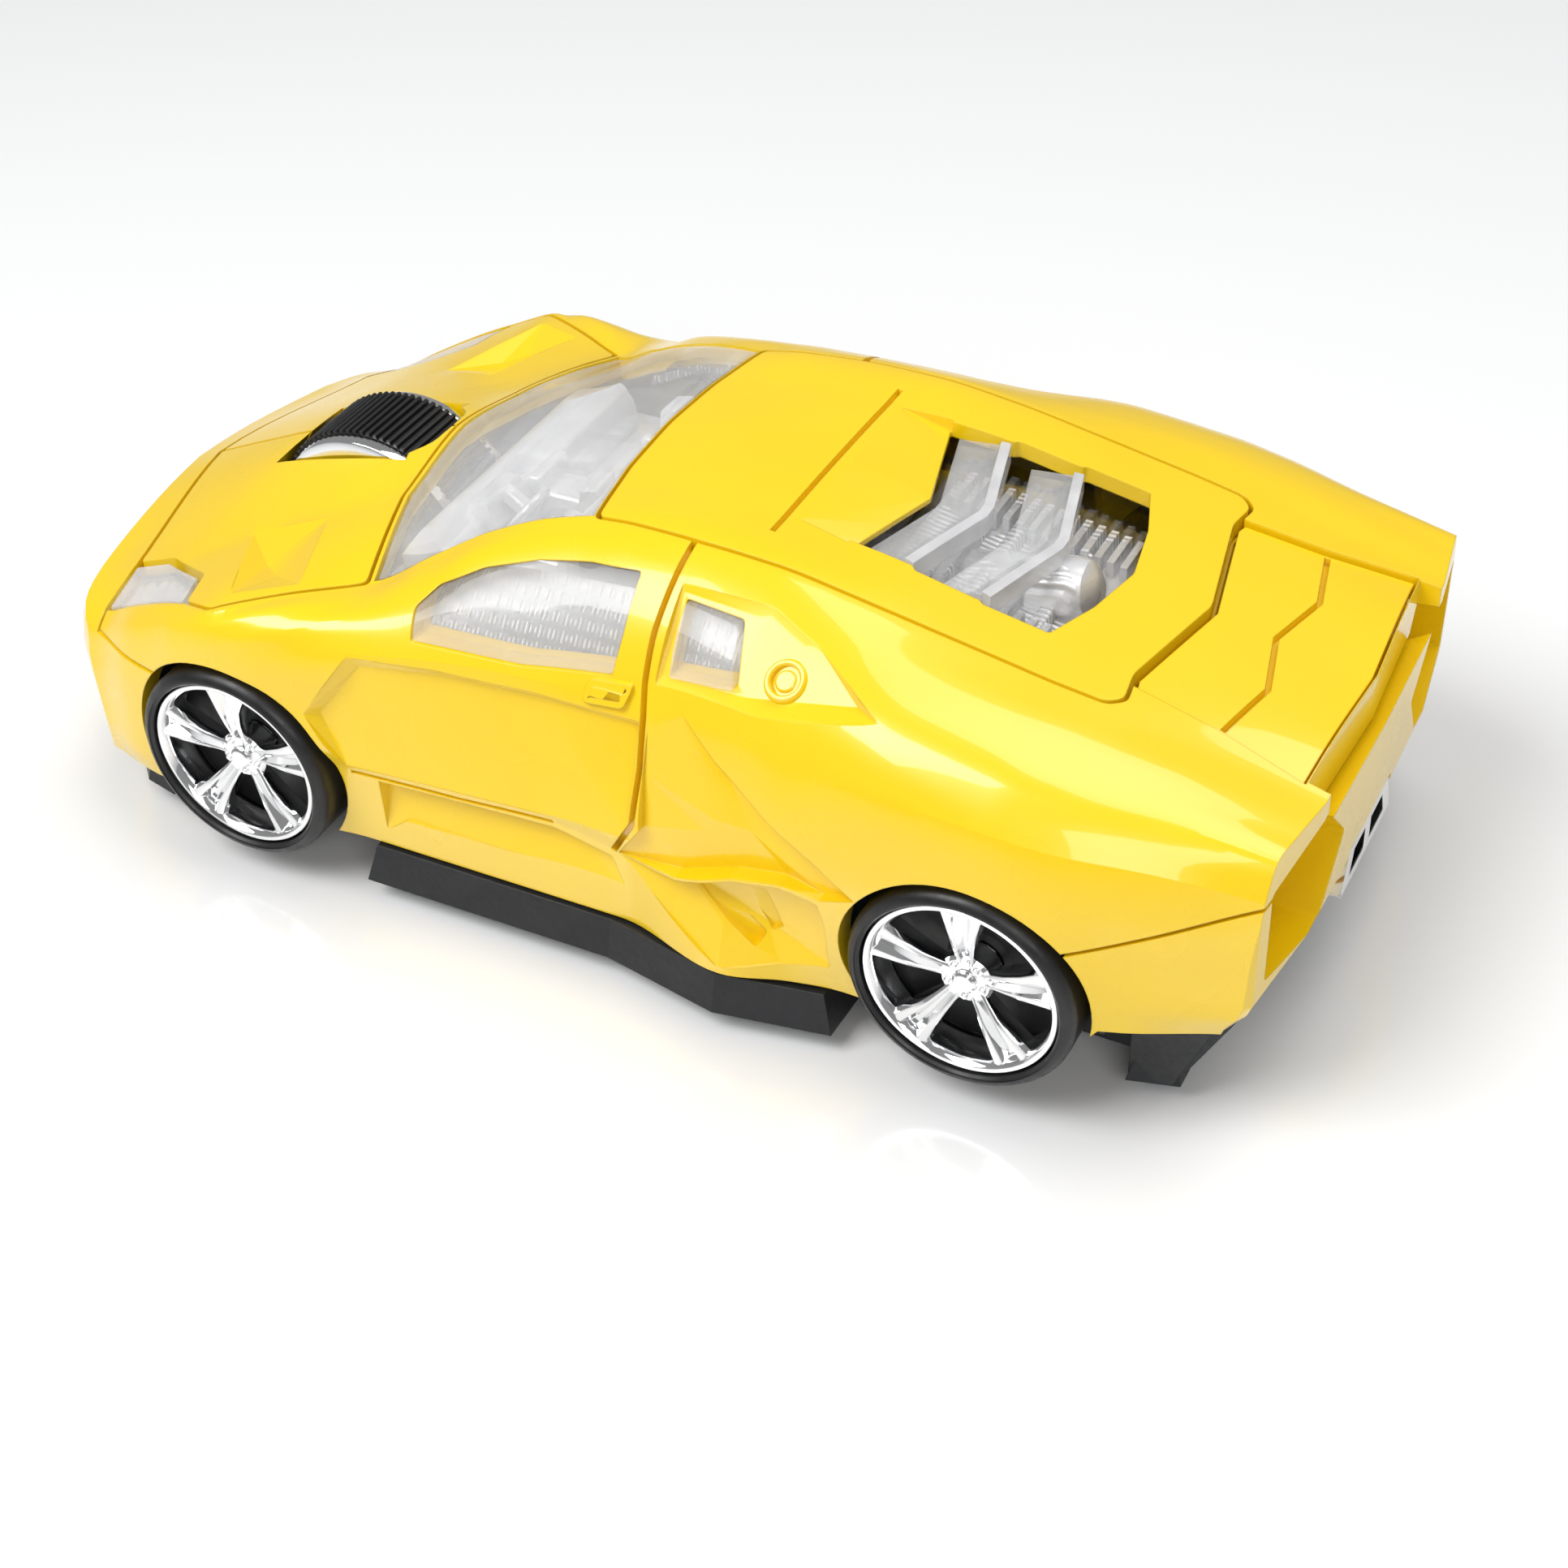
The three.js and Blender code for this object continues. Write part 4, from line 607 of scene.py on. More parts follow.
def patterned_material(name, u_axis, v_axis, diamond, bar, low, high):
    """Plated plastic with diamonds filled by fine raised bars."""
    material, nodes, links, shader = node_material(name)
    setting(shader, Metallic=0.3, IOR=1.6)
    blend(nodes, links, shader, "Roughness", noise(nodes, links, 300, 3), 0.22, 0.32)
    split = nodes.new("ShaderNodeSeparateXYZ")
    where = nodes.new("ShaderNodeTexCoord")
    links.new(where.outputs["Object"], split.inputs[0])
    u, v = split.outputs[u_axis], split.outputs[v_axis]

    def wave(source, pitch):
        turned = maths(nodes, links, "MULTIPLY", source, 2 * math.pi / pitch)
        return maths(nodes, links, "SINE", turned)

    along = maths(nodes, links, "ADD", u, v)
    over = maths(nodes, links, "SUBTRACT", u, v)
    cells = maths(nodes, links, "MULTIPLY", wave(along, diamond), wave(over, diamond))
    mask = maths(nodes, links, "GREATER_THAN", cells, 0.12)
    bars = maths(nodes, links, "MULTIPLY", wave(u, bar), mask)
    blend(nodes, links, shader, "Base Color", bars, (low, low, low * 1.02, 1),
          (high, high, high * 1.01, 1), (0.0, 0.8))
    surface_detail(nodes, links, shader, bars, 0.5, 0.00012, 0.0001)
    return material


def clear_material(name, tint, rough, alpha_mix, clearness=1.0):
    """Moulded clear plastic: mostly see-through, with a glossy skin."""
    material, nodes, links, shader = node_material(name)
    shader.inputs["Base Color"].default_value = tint
    setting(shader, IOR=1.45, Transmission_Weight=clearness, Alpha=alpha_mix, Coat_Weight=0.3,
            Coat_Roughness=0.02)
    blend(nodes, links, shader, "Roughness", noise(nodes, links, 250, 3), rough, rough + 0.03)
    surface_detail(nodes, links, shader, noise(nodes, links, 220, 2), 0.04, 0.0001, 0.0001)
    return material


def edge_material():
    """The thick moulded edge of a clear part, which gathers light and reads nearly white; that brightness is
    a painted highlight in its near-white base colour.
    """
    material, nodes, links, shader = node_material("acrylic_edge_painted_highlight")
    setting(shader, IOR=1.49, Transmission_Weight=0.35, Alpha=0.8, Coat_Weight=0.6, Coat_Roughness=0.02)
    # Painted highlight: the near-white base colour stands in for the light the thick clear edge gathers.
    blend(nodes, links, shader, "Base Color", noise(nodes, links, 300, 3), (0.8, 0.8, 0.82, 1),
          (0.95, 0.95, 0.96, 1))
    blend(nodes, links, shader, "Roughness", noise(nodes, links, 500, 2), 0.08, 0.14)
    surface_detail(nodes, links, shader, noise(nodes, links, 400, 2), 0.05, 0.0001, 0.0001)
    return material


def board_material():
    material, nodes, links, shader = node_material("solder_mask")
    where = nodes.new("ShaderNodeTexCoord")
    cells = nodes.new("ShaderNodeTexVoronoi")
    cells.inputs["Scale"].default_value = 900
    links.new(where.outputs["Object"], cells.inputs["Vector"])
    blend(nodes, links, shader, "Base Color", cells.outputs["Distance"], (0.008, 0.11, 0.035, 1),
          (0.015, 0.17, 0.06, 1))
    setting(shader, Roughness=0.35)
    surface_detail(nodes, links, shader, cells.outputs["Distance"], 0.2, 0.00005, 0.0001)
    return material


PAINT = paint_material()
LOOKS = {
    "paint": PAINT,
    "base_black": black_material("base_black", (0.016, 0.017, 0.02), 0.42, 1800, 0.5),
    "glide": black_material("glide_grey", (0.05, 0.052, 0.056), 0.35, 700, 0.15),
    "tyre": black_material("rubber_black", (0.012, 0.012, 0.013), 0.38, 900, 0.12),
    "chip": black_material("moulded_black", (0.012, 0.012, 0.013), 0.4, 1200, 0.3),
    "plated": plated_material("plated_bright", (0.92, 0.925, 0.935), 0.05, 0.05, 260),
    "steel": plated_material("steel_nickel", (0.56, 0.565, 0.58), 0.22, 0.12, 900),
    "cell": plated_material("cell_foil", (0.45, 0.24, 0.06), 0.25, 0.05, 500),
    "clear": clear_material("acrylic_clear", (0.97, 0.975, 0.98, 1), 0.01, 0.35, 0.5),
    "smoked": clear_material("acrylic_smoked", (0.88, 0.89, 0.9, 1), 0.02, 0.14),
    "board": board_material(),
}
SIDE_PATTERN = patterned_material("plated_diamonds", 1, 2, 0.0021, 0.0004, 0.25, 0.95)
ENGINE_PATTERN = patterned_material("plated_ribs", 0, 1, 0.012, 0.0006, 0.7, 1.0)
SATIN = silvered_material("silvered_lamp", 0.35, 0.3)
EDGE_PAINTED_HIGHLIGHT = edge_material()
CABIN_LOOK = silvered_material("silvered_cabin", 0.3, 0.16)
LAMP_LENS = clear_material("acrylic_lens", (0.97, 0.97, 0.98, 1), 0.03, 0.5, 0.35)
SPOKE_BLACK = black_material("wheel_centre_black", (0.02, 0.02, 0.021), 0.5, 900, 0.3)

# ------------------------------------------------------------------ finished pieces

CREASE_ANGLE = 10


def piece(name, mesh, body, look, nodes=(), sharp=28):
    """Moves a working mesh into the frame, gives it its look and ties it to its body."""
    mesh.transform(Matrix.Scale(MM, 4) @ Matrix.Translation((0, SHIFT_Y, 0)))
    tidy = bmesh.new()
    tidy.from_mesh(mesh)
    bmesh.ops.remove_doubles(tidy, verts=tidy.verts[:], dist=2e-6)
    tidy.to_mesh(mesh)
    tidy.free()
    mesh.materials.clear()
    mesh.materials.append(look)
    mesh.shade_smooth()
    mesh.set_sharp_from_angle(angle=math.radians(sharp))
    made = bpy.data.objects.new(name, mesh)
    mesh.name = name
    bpy.context.scene.collection.objects.link(made)
    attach(made, body)
    if nodes:
        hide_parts(*nodes)
    return made


def pair(name, mesh, body, look, node=None, sharp=28):
    """A left-hand piece and its mirror image; body may hold {} for the side."""
    for side, form in zip(("left", "right"), both(mesh)):
        nodes = (node.format(side),) if node else ()
        piece(name.format(side), form, body.format(side), look, nodes, sharp)


# ------------------------------------------------------------------ panel outlines

HOOD = symmetric([(0, -52.8), (17.4, -48.7), (17.6, -44.4), (20.8, -38.5), (24.9, -37.1), (26.4, -33.3),
                  (19.8, -22), (9.4, -25.3), (0, -25.9)])
HEADLIGHT = [(17.4, -48.7), (17.6, -44.4), (20.8, -38.5), (24.9, -37.1), (22, -48.7)]
WINDSCREEN = symmetric([(0, -25.5), (9.4, -24.9), (19.4, -21.8), (17.7, -17), (16, -12.5), (14.7, -8),
                        (13.8, -4.1), (7, -5.1), (0, -5.4)])
LID = symmetric([(0, -5), (7, -4.7), (13.8, -3.7), (14.5, 6), (14.9, 20), (14.8, 34), (14.6, 37.9),
                 (13.6, 38.9), (10.7, 38.5), (0, 40.6)])
LID_HOLE = symmetric([(0, -3.2), (12.2, -2.2), (12.9, 6), (13.3, 20), (13.1, 36.8), (0, 38.7)])
DECK = symmetric([(0, 41.1), (10.7, 39), (11.6, 39.2), (12.2, 45.8), (13.5, 52.3), (0, 53.1)])
DECK_HOLE = symmetric([(0, 42.9), (9.6, 41), (10.6, 45.8), (11.6, 50.6), (0, 51.4)])
ENGINE_WINDOW = symmetric([(0, 17.7), (9.3, 15.2), (9.5, 20.6), (9.9, 20.9), (10, 26.2),
                           (10.3, 26.5), (10.3, 31.8), (5.6, 33.4), (0, 34.4)])
SCROLL_SLOT = symmetric([(0, SCROLL_Y - 8), (3.2, SCROLL_Y - 7.4), (5, SCROLL_Y - 5), (5, SCROLL_Y + 3.8),
                         (2.6, SCROLL_Y + 6.4), (0, SCROLL_Y + 6.7)])
DOOR_WINDOW = [(-15.2, 26.2), (-15.7, 28.2), (-14.2, 29.7), (-10.8, 31.3), (-6.4, 32.5), (-2, 33.2),
               (2.3, 33.5), (2.4, 30.1), (2.2, 27.3), (-5.6, 26.4)]
QUARTER_WINDOW = [(6.5, 32.7), (11.5, 32.4), (12.6, 29), (6.8, 28.2)]
REFLECTOR = [(-17, 25.2), (-17, 29), (-12.5, 31.2), (14.2, 31.2), (14.2, 27), (2, 25.6)]
FRONT_BUMPER = [(-60, 45), (-48.7, 45), (-48.7, 17.2), (-39.5, 18.1), (-37.5, 12), (-37.5, 0), (-60, 0)]
REAR_BUMPER = [(37.5, 12), (39.9, 17.3), (53.2, 22.9), (60, 25.8), (60, 0), (37.5, 0)]
TAIL_POCKET = [(13.8, 24.8), (8.4, 19.2), (12.2, 13.6), (22, 15.2), (22.2, 23.4)]
EXHAUST = [(-6.2, 10.7), (6.2, 10.7), (4.8, 14.4), (-4.8, 14.4)]
TROUGH = symmetric([(0, 53.5), (13.6, 52.7), (14.3, 60), (0, 60)])
DOOR_SEAM = [(5.2, 35.2), (5.1, 34), (4.9, 30.7), (5, 27.5), (5.3, 25.5), (5.4, 21.5), (5.2, 17), (2.9, 13.2)]
DOOR_FOOT_SEAM = [(-21.5, 13.1), (-11.7, 13.4), (-2.6, 14)]
ROOF = 45

# ------------------------------------------------------------------ painted panels


def side_groove(path, width, depth):
    return both(cut(across_x(stroke(path, width), 10, 40), below(depth)))


def top_groove(path, width, depth):
    return cut(up_z(stroke(path, width), 20, ROOF), below(depth))


def arches():
    near = [moved(lathe([(0, WELL_X), (0, 40), (ARCH_R, 40), (ARCH_R, WELL_X)], 72),
                  Matrix.Translation((0, y, WHEEL_Z))) for y in AXLES_Y]
    return both(near[0]) + both(near[1])


def side_scoop():
    """Facets behind the door: a set-back wedge under the sharp haunch crease, down to the side intake."""
    corners = [
        (8.6, 26.4, -0.05), (12.0, 24.0, 0.95), (15.1, 22.6, 1.4), (21.0, 19.6, 1.55), (24.4, 17.2, 1.1),
        (21.4, 16.0, 1.0), (18.2, 17.5, 1.2), (15.1, 19.2, 1.2), (12.3, 21.6, 0.75),
        (5.8, 24.8, -0.05), (5.7, 20.9, 0.3), (11.9, 19.2, 0.75), (5.8, 16.6, 0.75), (11.1, 17.8, 1.15),
        (3.4, 13.2, 0.15), (8.9, 13.5, 1.3), (14.0, 15.5, 1.6), (18.1, 16.2, 1.5)]
    polygons = [
        (0, 1, 8), (1, 2, 7, 8), (2, 3, 6, 7), (3, 4, 5, 6), (0, 8, 11, 10, 9), (8, 7, 11),
        (10, 11, 13, 12), (11, 7, 13), (12, 13, 15, 14), (13, 7, 16, 15), (7, 6, 17, 16), (6, 5, 17)]
    return facets(corners, polygons)


def side_intake():
    """The recess ahead of the rear wheel, stepped under its upper edge."""
    corners = [
        (3.4, 13.0, 0.0), (8.9, 13.2, 1.8), (14.0, 15.2, 1.9), (18.1, 15.9, 1.8), (21.2, 15.5, 1.5),
        (21.6, 13.2, 1.3), (21.4, 8.4, 0.3), (17.2, 7.4, 0.2), (12.6, 6.2, -0.05), (8.0, 9.0, 0.2),
        (15.9, 10.4, 1.8), (12.6, 10.0, 1.2)]
    polygons = [(0, 1, 9), (1, 11, 9), (1, 2, 10, 11), (2, 3, 10), (3, 4, 5, 10), (5, 6, 10), (6, 7, 10),
                (7, 8, 11, 10), (8, 9, 11)]
    return facets(corners, polygons)


def skirt_recess():
    """The panel under the door, set back below the door's edge."""
    corners = [(-19.0, 12.8, 1.5), (-2.6, 13.4, 1.5), (2.6, 12.4, 0.8), (3.4, 9.4, -0.05), (-17.2, 8.9, 0.35),
               (-19.4, 7.2, -0.05), (-17.6, 12.2, 1.45)]
    return facets(corners, [(0, 1, 6), (1, 4, 6), (1, 2, 3), (1, 3, 4), (0, 6, 5), (6, 4, 5)])


def door_hollow():
    """The door below its waist crease: cut in under the crease and level again at the door's foot."""
    corners = [
        (-24.6, 18.6, -0.05), (-20.4, 24.4, -0.05), (-13.0, 24.8, -0.05), (-4.0, 24.9, -0.05),
        (5.0, 24.9, -0.05),
        (5.0, 24.0, 0.9), (-4.0, 23.9, 1.0), (-13.0, 23.8, 1.0), (-19.8, 23.3, 0.9), (-23.6, 18.4, 0.8),
        (-21.8, 13.8, 0.1), (-13.0, 14.1, 0.05), (-4.0, 14.6, 0.05), (4.8, 15.4, 0.05)]
    polygons = [(0, 1, 8, 9), (1, 2, 7, 8), (2, 3, 6, 7), (3, 4, 5, 6), (0, 9, 10), (9, 8, 10),
                (8, 7, 11, 10),
                (7, 6, 12, 11), (6, 5, 13, 12)]
    return facets(corners, polygons)


def quarter_recess():
    """The flat triangle that holds the quarter window and the fuel cap."""
    corners = [
        (5.9, 33.6, -0.05), (13.7, 33.5, -0.05), (17.7, 32.5, -0.05), (24.6, 30.4, -0.05),
        (19.3, 29.2, -0.05),
        (14.6, 28.2, -0.05), (5.9, 27.6, -0.05), (6.2, 33.0, 0.45), (13.5, 32.7, 0.85), (16.6, 31.9, 0.95),
        (22.4, 30.4, 1.0), (17.5, 29.5, 0.95), (13.5, 28.7, 0.8), (6.2, 28.1, 0.45)]
    rim = [(k, (k + 1) % 7, 7 + (k + 1) % 7, 7 + k) for k in range(7)]
    return facets(corners, [*rim, (7, 8, 12, 13), (8, 9, 12), (9, 10, 11), (9, 11, 12)])


def intake_slots():
    slots = [
        [(9.4, 12.9), (10.6, 13.3), (16.0, 9.6), (15.3, 8.3)],
        [(14.3, 13.3), (15.9, 13.6), (17.3, 10.4), (16.3, 9.7)]]
    return [tool for slot in slots for tool in both(cut(across_x(rounded(slot, 0.3), 10, 40), below(2.0)))]


def window_tools(outline):
    """Through cuts for a side window."""
    return both(across_x(rounded(outline, 0.3), 12, 40))


def body_shell():
    pocket_walls = both(meet(along_y(offset(TAIL_POCKET, 1.1), 46.6, TAIL_Y + 2), below(0)))
    rim = join(up_z(offset(LID, 1.4), 20, ROOF), up_z(offset(DECK, 1.4), 20, ROOF))
    ledge = cut(meet(layer(WALL - 0.3, 3.1), rim), up_z(LID_HOLE, 15, ROOF), up_z(DECK_HOLE, 15, ROOF))
    trough = up_z(TROUGH, 20, ROOF)
    backing = meet(layer(WALL - 0.3, 3.8), box(15, 40, 2, 22, 5.5, 26))
    shell = join(layer(0, WALL), *both(backing), ledge, *pocket_walls, meet(layer(WALL - 0.2, 3.2), trough))
    shell = cut(
        shell,
        across_x(offset(FRONT_BUMPER, SEAM / 2), -40, 40),
        across_x(offset(REAR_BUMPER, SEAM / 2), -40, 40),
        up_z(rounded(HOOD, 0.5), 18, ROOF),
        up_z(WINDSCREEN, 18, ROOF),
        *both(up_z(offset(HEADLIGHT, 0.05), 15, ROOF)),
        cut(up_z(rounded(offset(LID, SEAM), 0.6), 20, ROOF), below(1.7)),
        cut(up_z(offset(DECK, SEAM), 20, ROOF), below(2.2)),
        up_z(LID_HOLE, 20, ROOF),
        up_z(DECK_HOLE, 20, ROOF),
        cut(trough, below(1.7)),
        *arches(),
        *both(along_y(rounded(TAIL_POCKET, 0.5), 47.8, TAIL_Y + 3)))
    features = [*both(side_scoop()), *both(side_intake()), *both(skirt_recess()),
                *both(door_hollow()), *both(quarter_recess()),
                *window_tools(DOOR_WINDOW), *window_tools(QUARTER_WINDOW), *intake_slots(),
                *side_groove(DOOR_SEAM, 0.5, 0.9), *side_groove(DOOR_FOOT_SEAM, 0.35, 0.5)]
    return cut(shell, *features)


def front_bumper():
    skin = meet(layer(0, WALL), across_x(offset(FRONT_BUMPER, -SEAM / 2), -40, 40))
    return cut(skin, up_z(offset(HOOD, SEAM / 2), 16, ROOF),
               *both(up_z(offset(HEADLIGHT, SEAM / 2), 15, ROOF)),
               *arches())


def rear_bumper():
    pocket_walls = both(meet(along_y(offset(TAIL_POCKET, 1.1), 46.6, TAIL_Y + 2), below(0)))
    skin = meet(join(layer(0, WALL), *pocket_walls), across_x(offset(REAR_BUMPER, -SEAM / 2), -40, 40))
    slot = cut(along_y([(9, 11.6), (9, 12.4), (20.8, 14), (20.8, 13.2)], 40, 60), below(0.9))
    return cut(skin, *arches(), *both(along_y(rounded(TAIL_POCKET, 0.5), 47.8, TAIL_Y + 3)), *both(slot),
               along_y(offset(EXHAUST, SEAM), 44, 60))


def hood_diamond():
    """The four-sided dimple beside each bonnet crease."""
    corners = [(24.1, -32.7, -0.03), (14.6, -37.6, -0.03), (12.7, -30.9, -0.03), (21.7, -27.5, -0.03),
               (18.1, -33.6, 1.3), (19.5, -31.6, 1.3)]
    return facets(corners, [(0, 1, 4), (1, 2, 4), (2, 5, 4), (2, 3, 5), (3, 0, 5), (0, 4, 5)], side=False)


def button():
    half = meet(up_z(rounded(offset(HOOD, -SEAM), 0.5), 18, ROOF), box(SEAM / 2, 40, -60, 0, 0, 50))
    post = meet(box(9.1, 10.7, -46.8, -45.2, 15.2, 40), below(0.6))
    panel = join(meet(layer(0, 1.5), half), post)
    wheel_room = moved(lathe([(0, -5), (0, 5), (SCROLL_R + 0.6, 5), (SCROLL_R + 0.6, -5)], 64),
                       Matrix.Translation((0, SCROLL_Y, SCROLL_Z)))
    return cut(panel, up_z(rounded(SCROLL_SLOT, 0.8), 15, ROOF), wheel_room, hood_diamond())


def engine_lid():
    panel = meet(layer(0, 1.4), up_z(rounded(LID, 0.6), 20, ROOF))
    slope = facets([(-9.6, 15.3, 1.0), (-4.6, 16.6, 1.0), (0, 17.8, 1.0), (4.6, 16.6, 1.0), (9.6, 15.3, 1.0),
                    (8.9, 10.9, -0.05), (0, 10.9, -0.05), (-8.9, 10.9, -0.05)],
                   [(0, 1, 7), (1, 2, 6, 7), (2, 3, 5, 6), (3, 4, 5)], side=False)
    return cut(panel, slope, up_z(rounded(ENGINE_WINDOW, 0.25), 20, ROOF),
               top_groove([(-11.3, 9.9), (11.3, 9.9)], 0.45, 0.6))


def deck_panel():
    panel = meet(layer(0.45, 1.9), up_z(DECK, 20, ROOF))
    return cut(panel, top_groove([(-12, 45.8), (-6, 47.1), (0, 45.7), (6, 47.1), (12, 45.8)], 0.45, 1.1))


piece("shell_body", body_shell(), "chassis", PAINT, ("body_shell",), sharp=CREASE_ANGLE)
piece("bumper_front", front_bumper(), "chassis", PAINT, ("front_bumper",), sharp=CREASE_ANGLE)
piece("bumper_rear", rear_bumper(), "chassis", PAINT, ("rear_bumper",), sharp=CREASE_ANGLE)
piece("panel_deck", deck_panel(), "chassis", PAINT, ("deck_panel",), sharp=CREASE_ANGLE)
piece("lid_engine", engine_lid(), "lid", PAINT, ("engine_lid",), sharp=CREASE_ANGLE)
pair("bonnet_button_{}", button(), "button_{}", PAINT, "button_{}", sharp=CREASE_ANGLE)


def on_side(y, z, lift=0.0):
    """A frame on the body's side: local X points outwards."""
    here = Vector((side_x(y, z), y, z))
    ahead = Vector((side_x(y + 0.5, z), y + 0.5, z)) - here
    above = Vector((side_x(y, z + 0.5), y, z + 0.5)) - here
    out = ahead.cross(above).normalized()
    if out.x < 0:
        out = -out
    turn = out.to_track_quat("X", "Z").to_matrix().to_4x4()
    return Matrix.Translation(here + out * lift) @ turn


CAP_RING = [(1.15, -0.9), (1.15, -0.25), (1.3, -0.1), (1.5, -0.1), (1.65, -0.25), (1.75, -0.5), (1.75, -0.9)]
CAP_DISC = [(0, -0.9), (0, -0.3), (0.7, -0.3), (0.85, -0.42), (0.95, -0.9)]
for k, profile in enumerate((CAP_RING, CAP_DISC)):
    pair(f"fuel_cap_{k}_{{}}", moved(lathe(profile, 40), on_side(16.2, 30.9, -0.35)), "chassis", PAINT)


def door_handle():
    outline = rounded([(0.2, 25.3), (0.4, 27.0), (4.3, 27.4), (3.7, 25.6)], 0.5)
    pad = meet(cut(body_form(-0.4, 1.6, 4), below(0.4)), across_x(outline, 12, 40))
    return cut(pad, cut(across_x(offset(outline, -0.5), 12, 40), below(-0.05)))


pair("door_handle_{}", door_handle(), "chassis", PAINT)

# ------------------------------------------------------------------ windows, lamps and cabin


def side_window(outline):
    return meet(layer(0.15, 0.15 + LENS), across_x(rounded(offset(outline, -0.08), 0.3), 12, 40))


piece("glass_windscreen", meet(layer(0.1, 0.1 + LENS), up_z(offset(WINDSCREEN, -SEAM), 15, ROOF)), "chassis",
      LOOKS["clear"], ("windscreen",))
pair("glass_door_{}", side_window(DOOR_WINDOW), "chassis", LOOKS["clear"], "door_window_{}")
pair("glass_quarter_{}", side_window(QUARTER_WINDOW), "chassis", LOOKS["clear"], "quarter_window_{}")
pair("reflector_side_{}", meet(layer(2.4, 3.2), across_x(REFLECTOR, 17, 40)), "chassis", SIDE_PATTERN,
     "side_reflector_{}")
pair("lens_headlight_{}", meet(layer(0.1, 0.1 + LENS), up_z(offset(HEADLIGHT, -SEAM), 15, ROOF)), "chassis",
     LAMP_LENS, "headlight_lens_{}")


def headlight_reflector():
    bowl = meet(layer(1.7, 2.9), up_z(offset(HEADLIGHT, -SEAM), 15, ROOF))
    ribs = [box(14, 27, -48 + k * 1.5, -47.3 + k * 1.5, 10, 40) for k in range(8)]
    return cut(bowl, *[cut(rib, below(2.2)) for rib in ribs])


pair("reflector_headlight_{}", headlight_reflector(), "chassis", SATIN,
     "headlight_reflector_{}")


def cabin():
    """Dashboard with a hooded binnacle, console, two bolstered seats and the steering wheel."""
    floor = box(-16.6, 16.6, -24.4, -5.6, 22.6, 23.6)
    section = [(-22.6, 23), (-22.6, 27), (-20.8, 28.4), (-18.2, 27.6), (-17.2, 25.8), (-17.2, 23)]
    dash = across_x(rounded(section, 0.6), -14.4, 14.4)
    binnacle = across_x(rounded([(-19.8, 26), (-19.4, 29), (-17.6, 29.3), (-16.9, 27), (-17.2, 26)], 0.5),
                        3.9, 9)
    console = soft_box(-1.9, 1.9, -17.8, -7.4, 23, 26.4, 0.5)
    screen = soft_box(-2.4, 2.4, -18, -16.8, 25.4, 28, 0.3)
    wall = box(-14.4, 14.4, -6.8, -5.6, 23, 40)
    solids = [dash, binnacle, console, screen, wall]
    for x in (-6.6, 6.6):
        solids.append(soft_box(x - 3.6, x + 3.6, -13.8, -7.2, 23, 25.4, 0.6))
        back = across_x(rounded([(-9.8, 24), (-8.9, 30.2), (-7.6, 31), (-6.4, 24)], 0.4), x - 3.4, x + 3.4)
        solids.append(back)
        for side in (-1, 1):
            edge = x + side * 3.3
            solids.append(soft_box(edge - 0.6, edge + 0.6, -14, -8.6, 23.2, 26.2, 0.4))
            solids.append(across_x(rounded([(-10.6, 25), (-9.6, 29.4), (-7.4, 29.8), (-6.6, 25)], 0.4),
                                   edge - 0.55, edge + 0.55))
        solids.append(across_x(rounded([(-9.4, 30), (-9, 32.4), (-7.6, 32.6), (-7.2, 30)], 0.4), x - 1.5,
                               x + 1.5))
    tilt = Matrix.Translation((6.4, -15.4, 27.6)) @ Matrix.Rotation(math.radians(-38), 4, "X")
    rim = [(2.15 + 0.36 * math.cos(a), 0.36 * math.sin(a)) for a in [2 * math.pi * k / 12 for k in range(12)]]
    stand = tilt @ Matrix.Rotation(math.radians(90), 4, "Z")
    solids.append(moved(lathe(rim, 40), stand))
    solids.append(moved(lathe([(0, -2.6), (0, 0.35), (0.75, 0.3), (0.9, -0.1), (0.8, -2.6)], 24), stand))
    for angle in (90, 210, 330):
        bar = box(-0.3, 0.3, -0.22, 0.22, 0.5, 2.2)
        solids.append(moved(bar, tilt @ Matrix.Rotation(math.radians(angle), 4, "Y")))
    whole = join(floor, *solids)
    return meet(whole, below(1.8))


piece("cabin_moulding", cabin(), "chassis", CABIN_LOOK, ("cabin_interior",))

# ------------------------------------------------------------------ engine bay


def v_path(y, half, sweep):
    return [(-half, y - sweep), (-0.6, y), (0.6, y), (half, y - sweep)]


def engine_cover():
    """The clear cover: a plate under the lid and two swept louvres standing up to the lid's surface."""
    plate = meet(layer(1.7, 2.7), up_z(offset(symmetric([(0, 17.4), (4.6, 17), (9.2, 15.2), (10.2, 31.8),
                                                          (5.6, 33.4), (0, 34.4)]), 0.8), 20, ROOF))
    louvres = [meet(layer(0.6, 2.3), up_z(stroke(v_path(y, 9.1, 2.2), 0.75), 20, ROOF)) for y in (21.4, 27.6)]
    return join(plate, *louvres)


def engine_block():
    """Finned banks each side of a rounded intake plenum with its runners, on a plain block."""
    block = across_x([(16, 24.4), (16, 29.4), (33.4, 26.0), (33.4, 24.4)], -9, 9)
    fins = []
    for side in (-1, 1):
        for k in range(14):
            y = 17.2 + k * 1.1
            fins.append(box(side * 6.9 - 2.0, side * 6.9 + 2.0, y, y + 0.6, 25, 34.0 - 0.2 * y))
    pod = lathe([(0, -7), (0, 7), (1.2, 6.9), (2.3, 6.2), (2.6, 5), (2.6, -5), (2.3, -6.2), (1.2, -6.9)], 40)
    plenum = moved(pod, Matrix.Translation((0, 25, 27.3)) @ Matrix.Rotation(math.radians(11), 4, "X")
                   @ Matrix.Rotation(math.radians(90), 4, "Z"))
    runners = [soft_box(-5.6, 5.6, y, y + 1.2, 26, 33.6 - 0.2 * y, 0.3) for y in (19.6, 22.4, 25.2, 28)]
    return join(block, *fins, plenum, *runners)


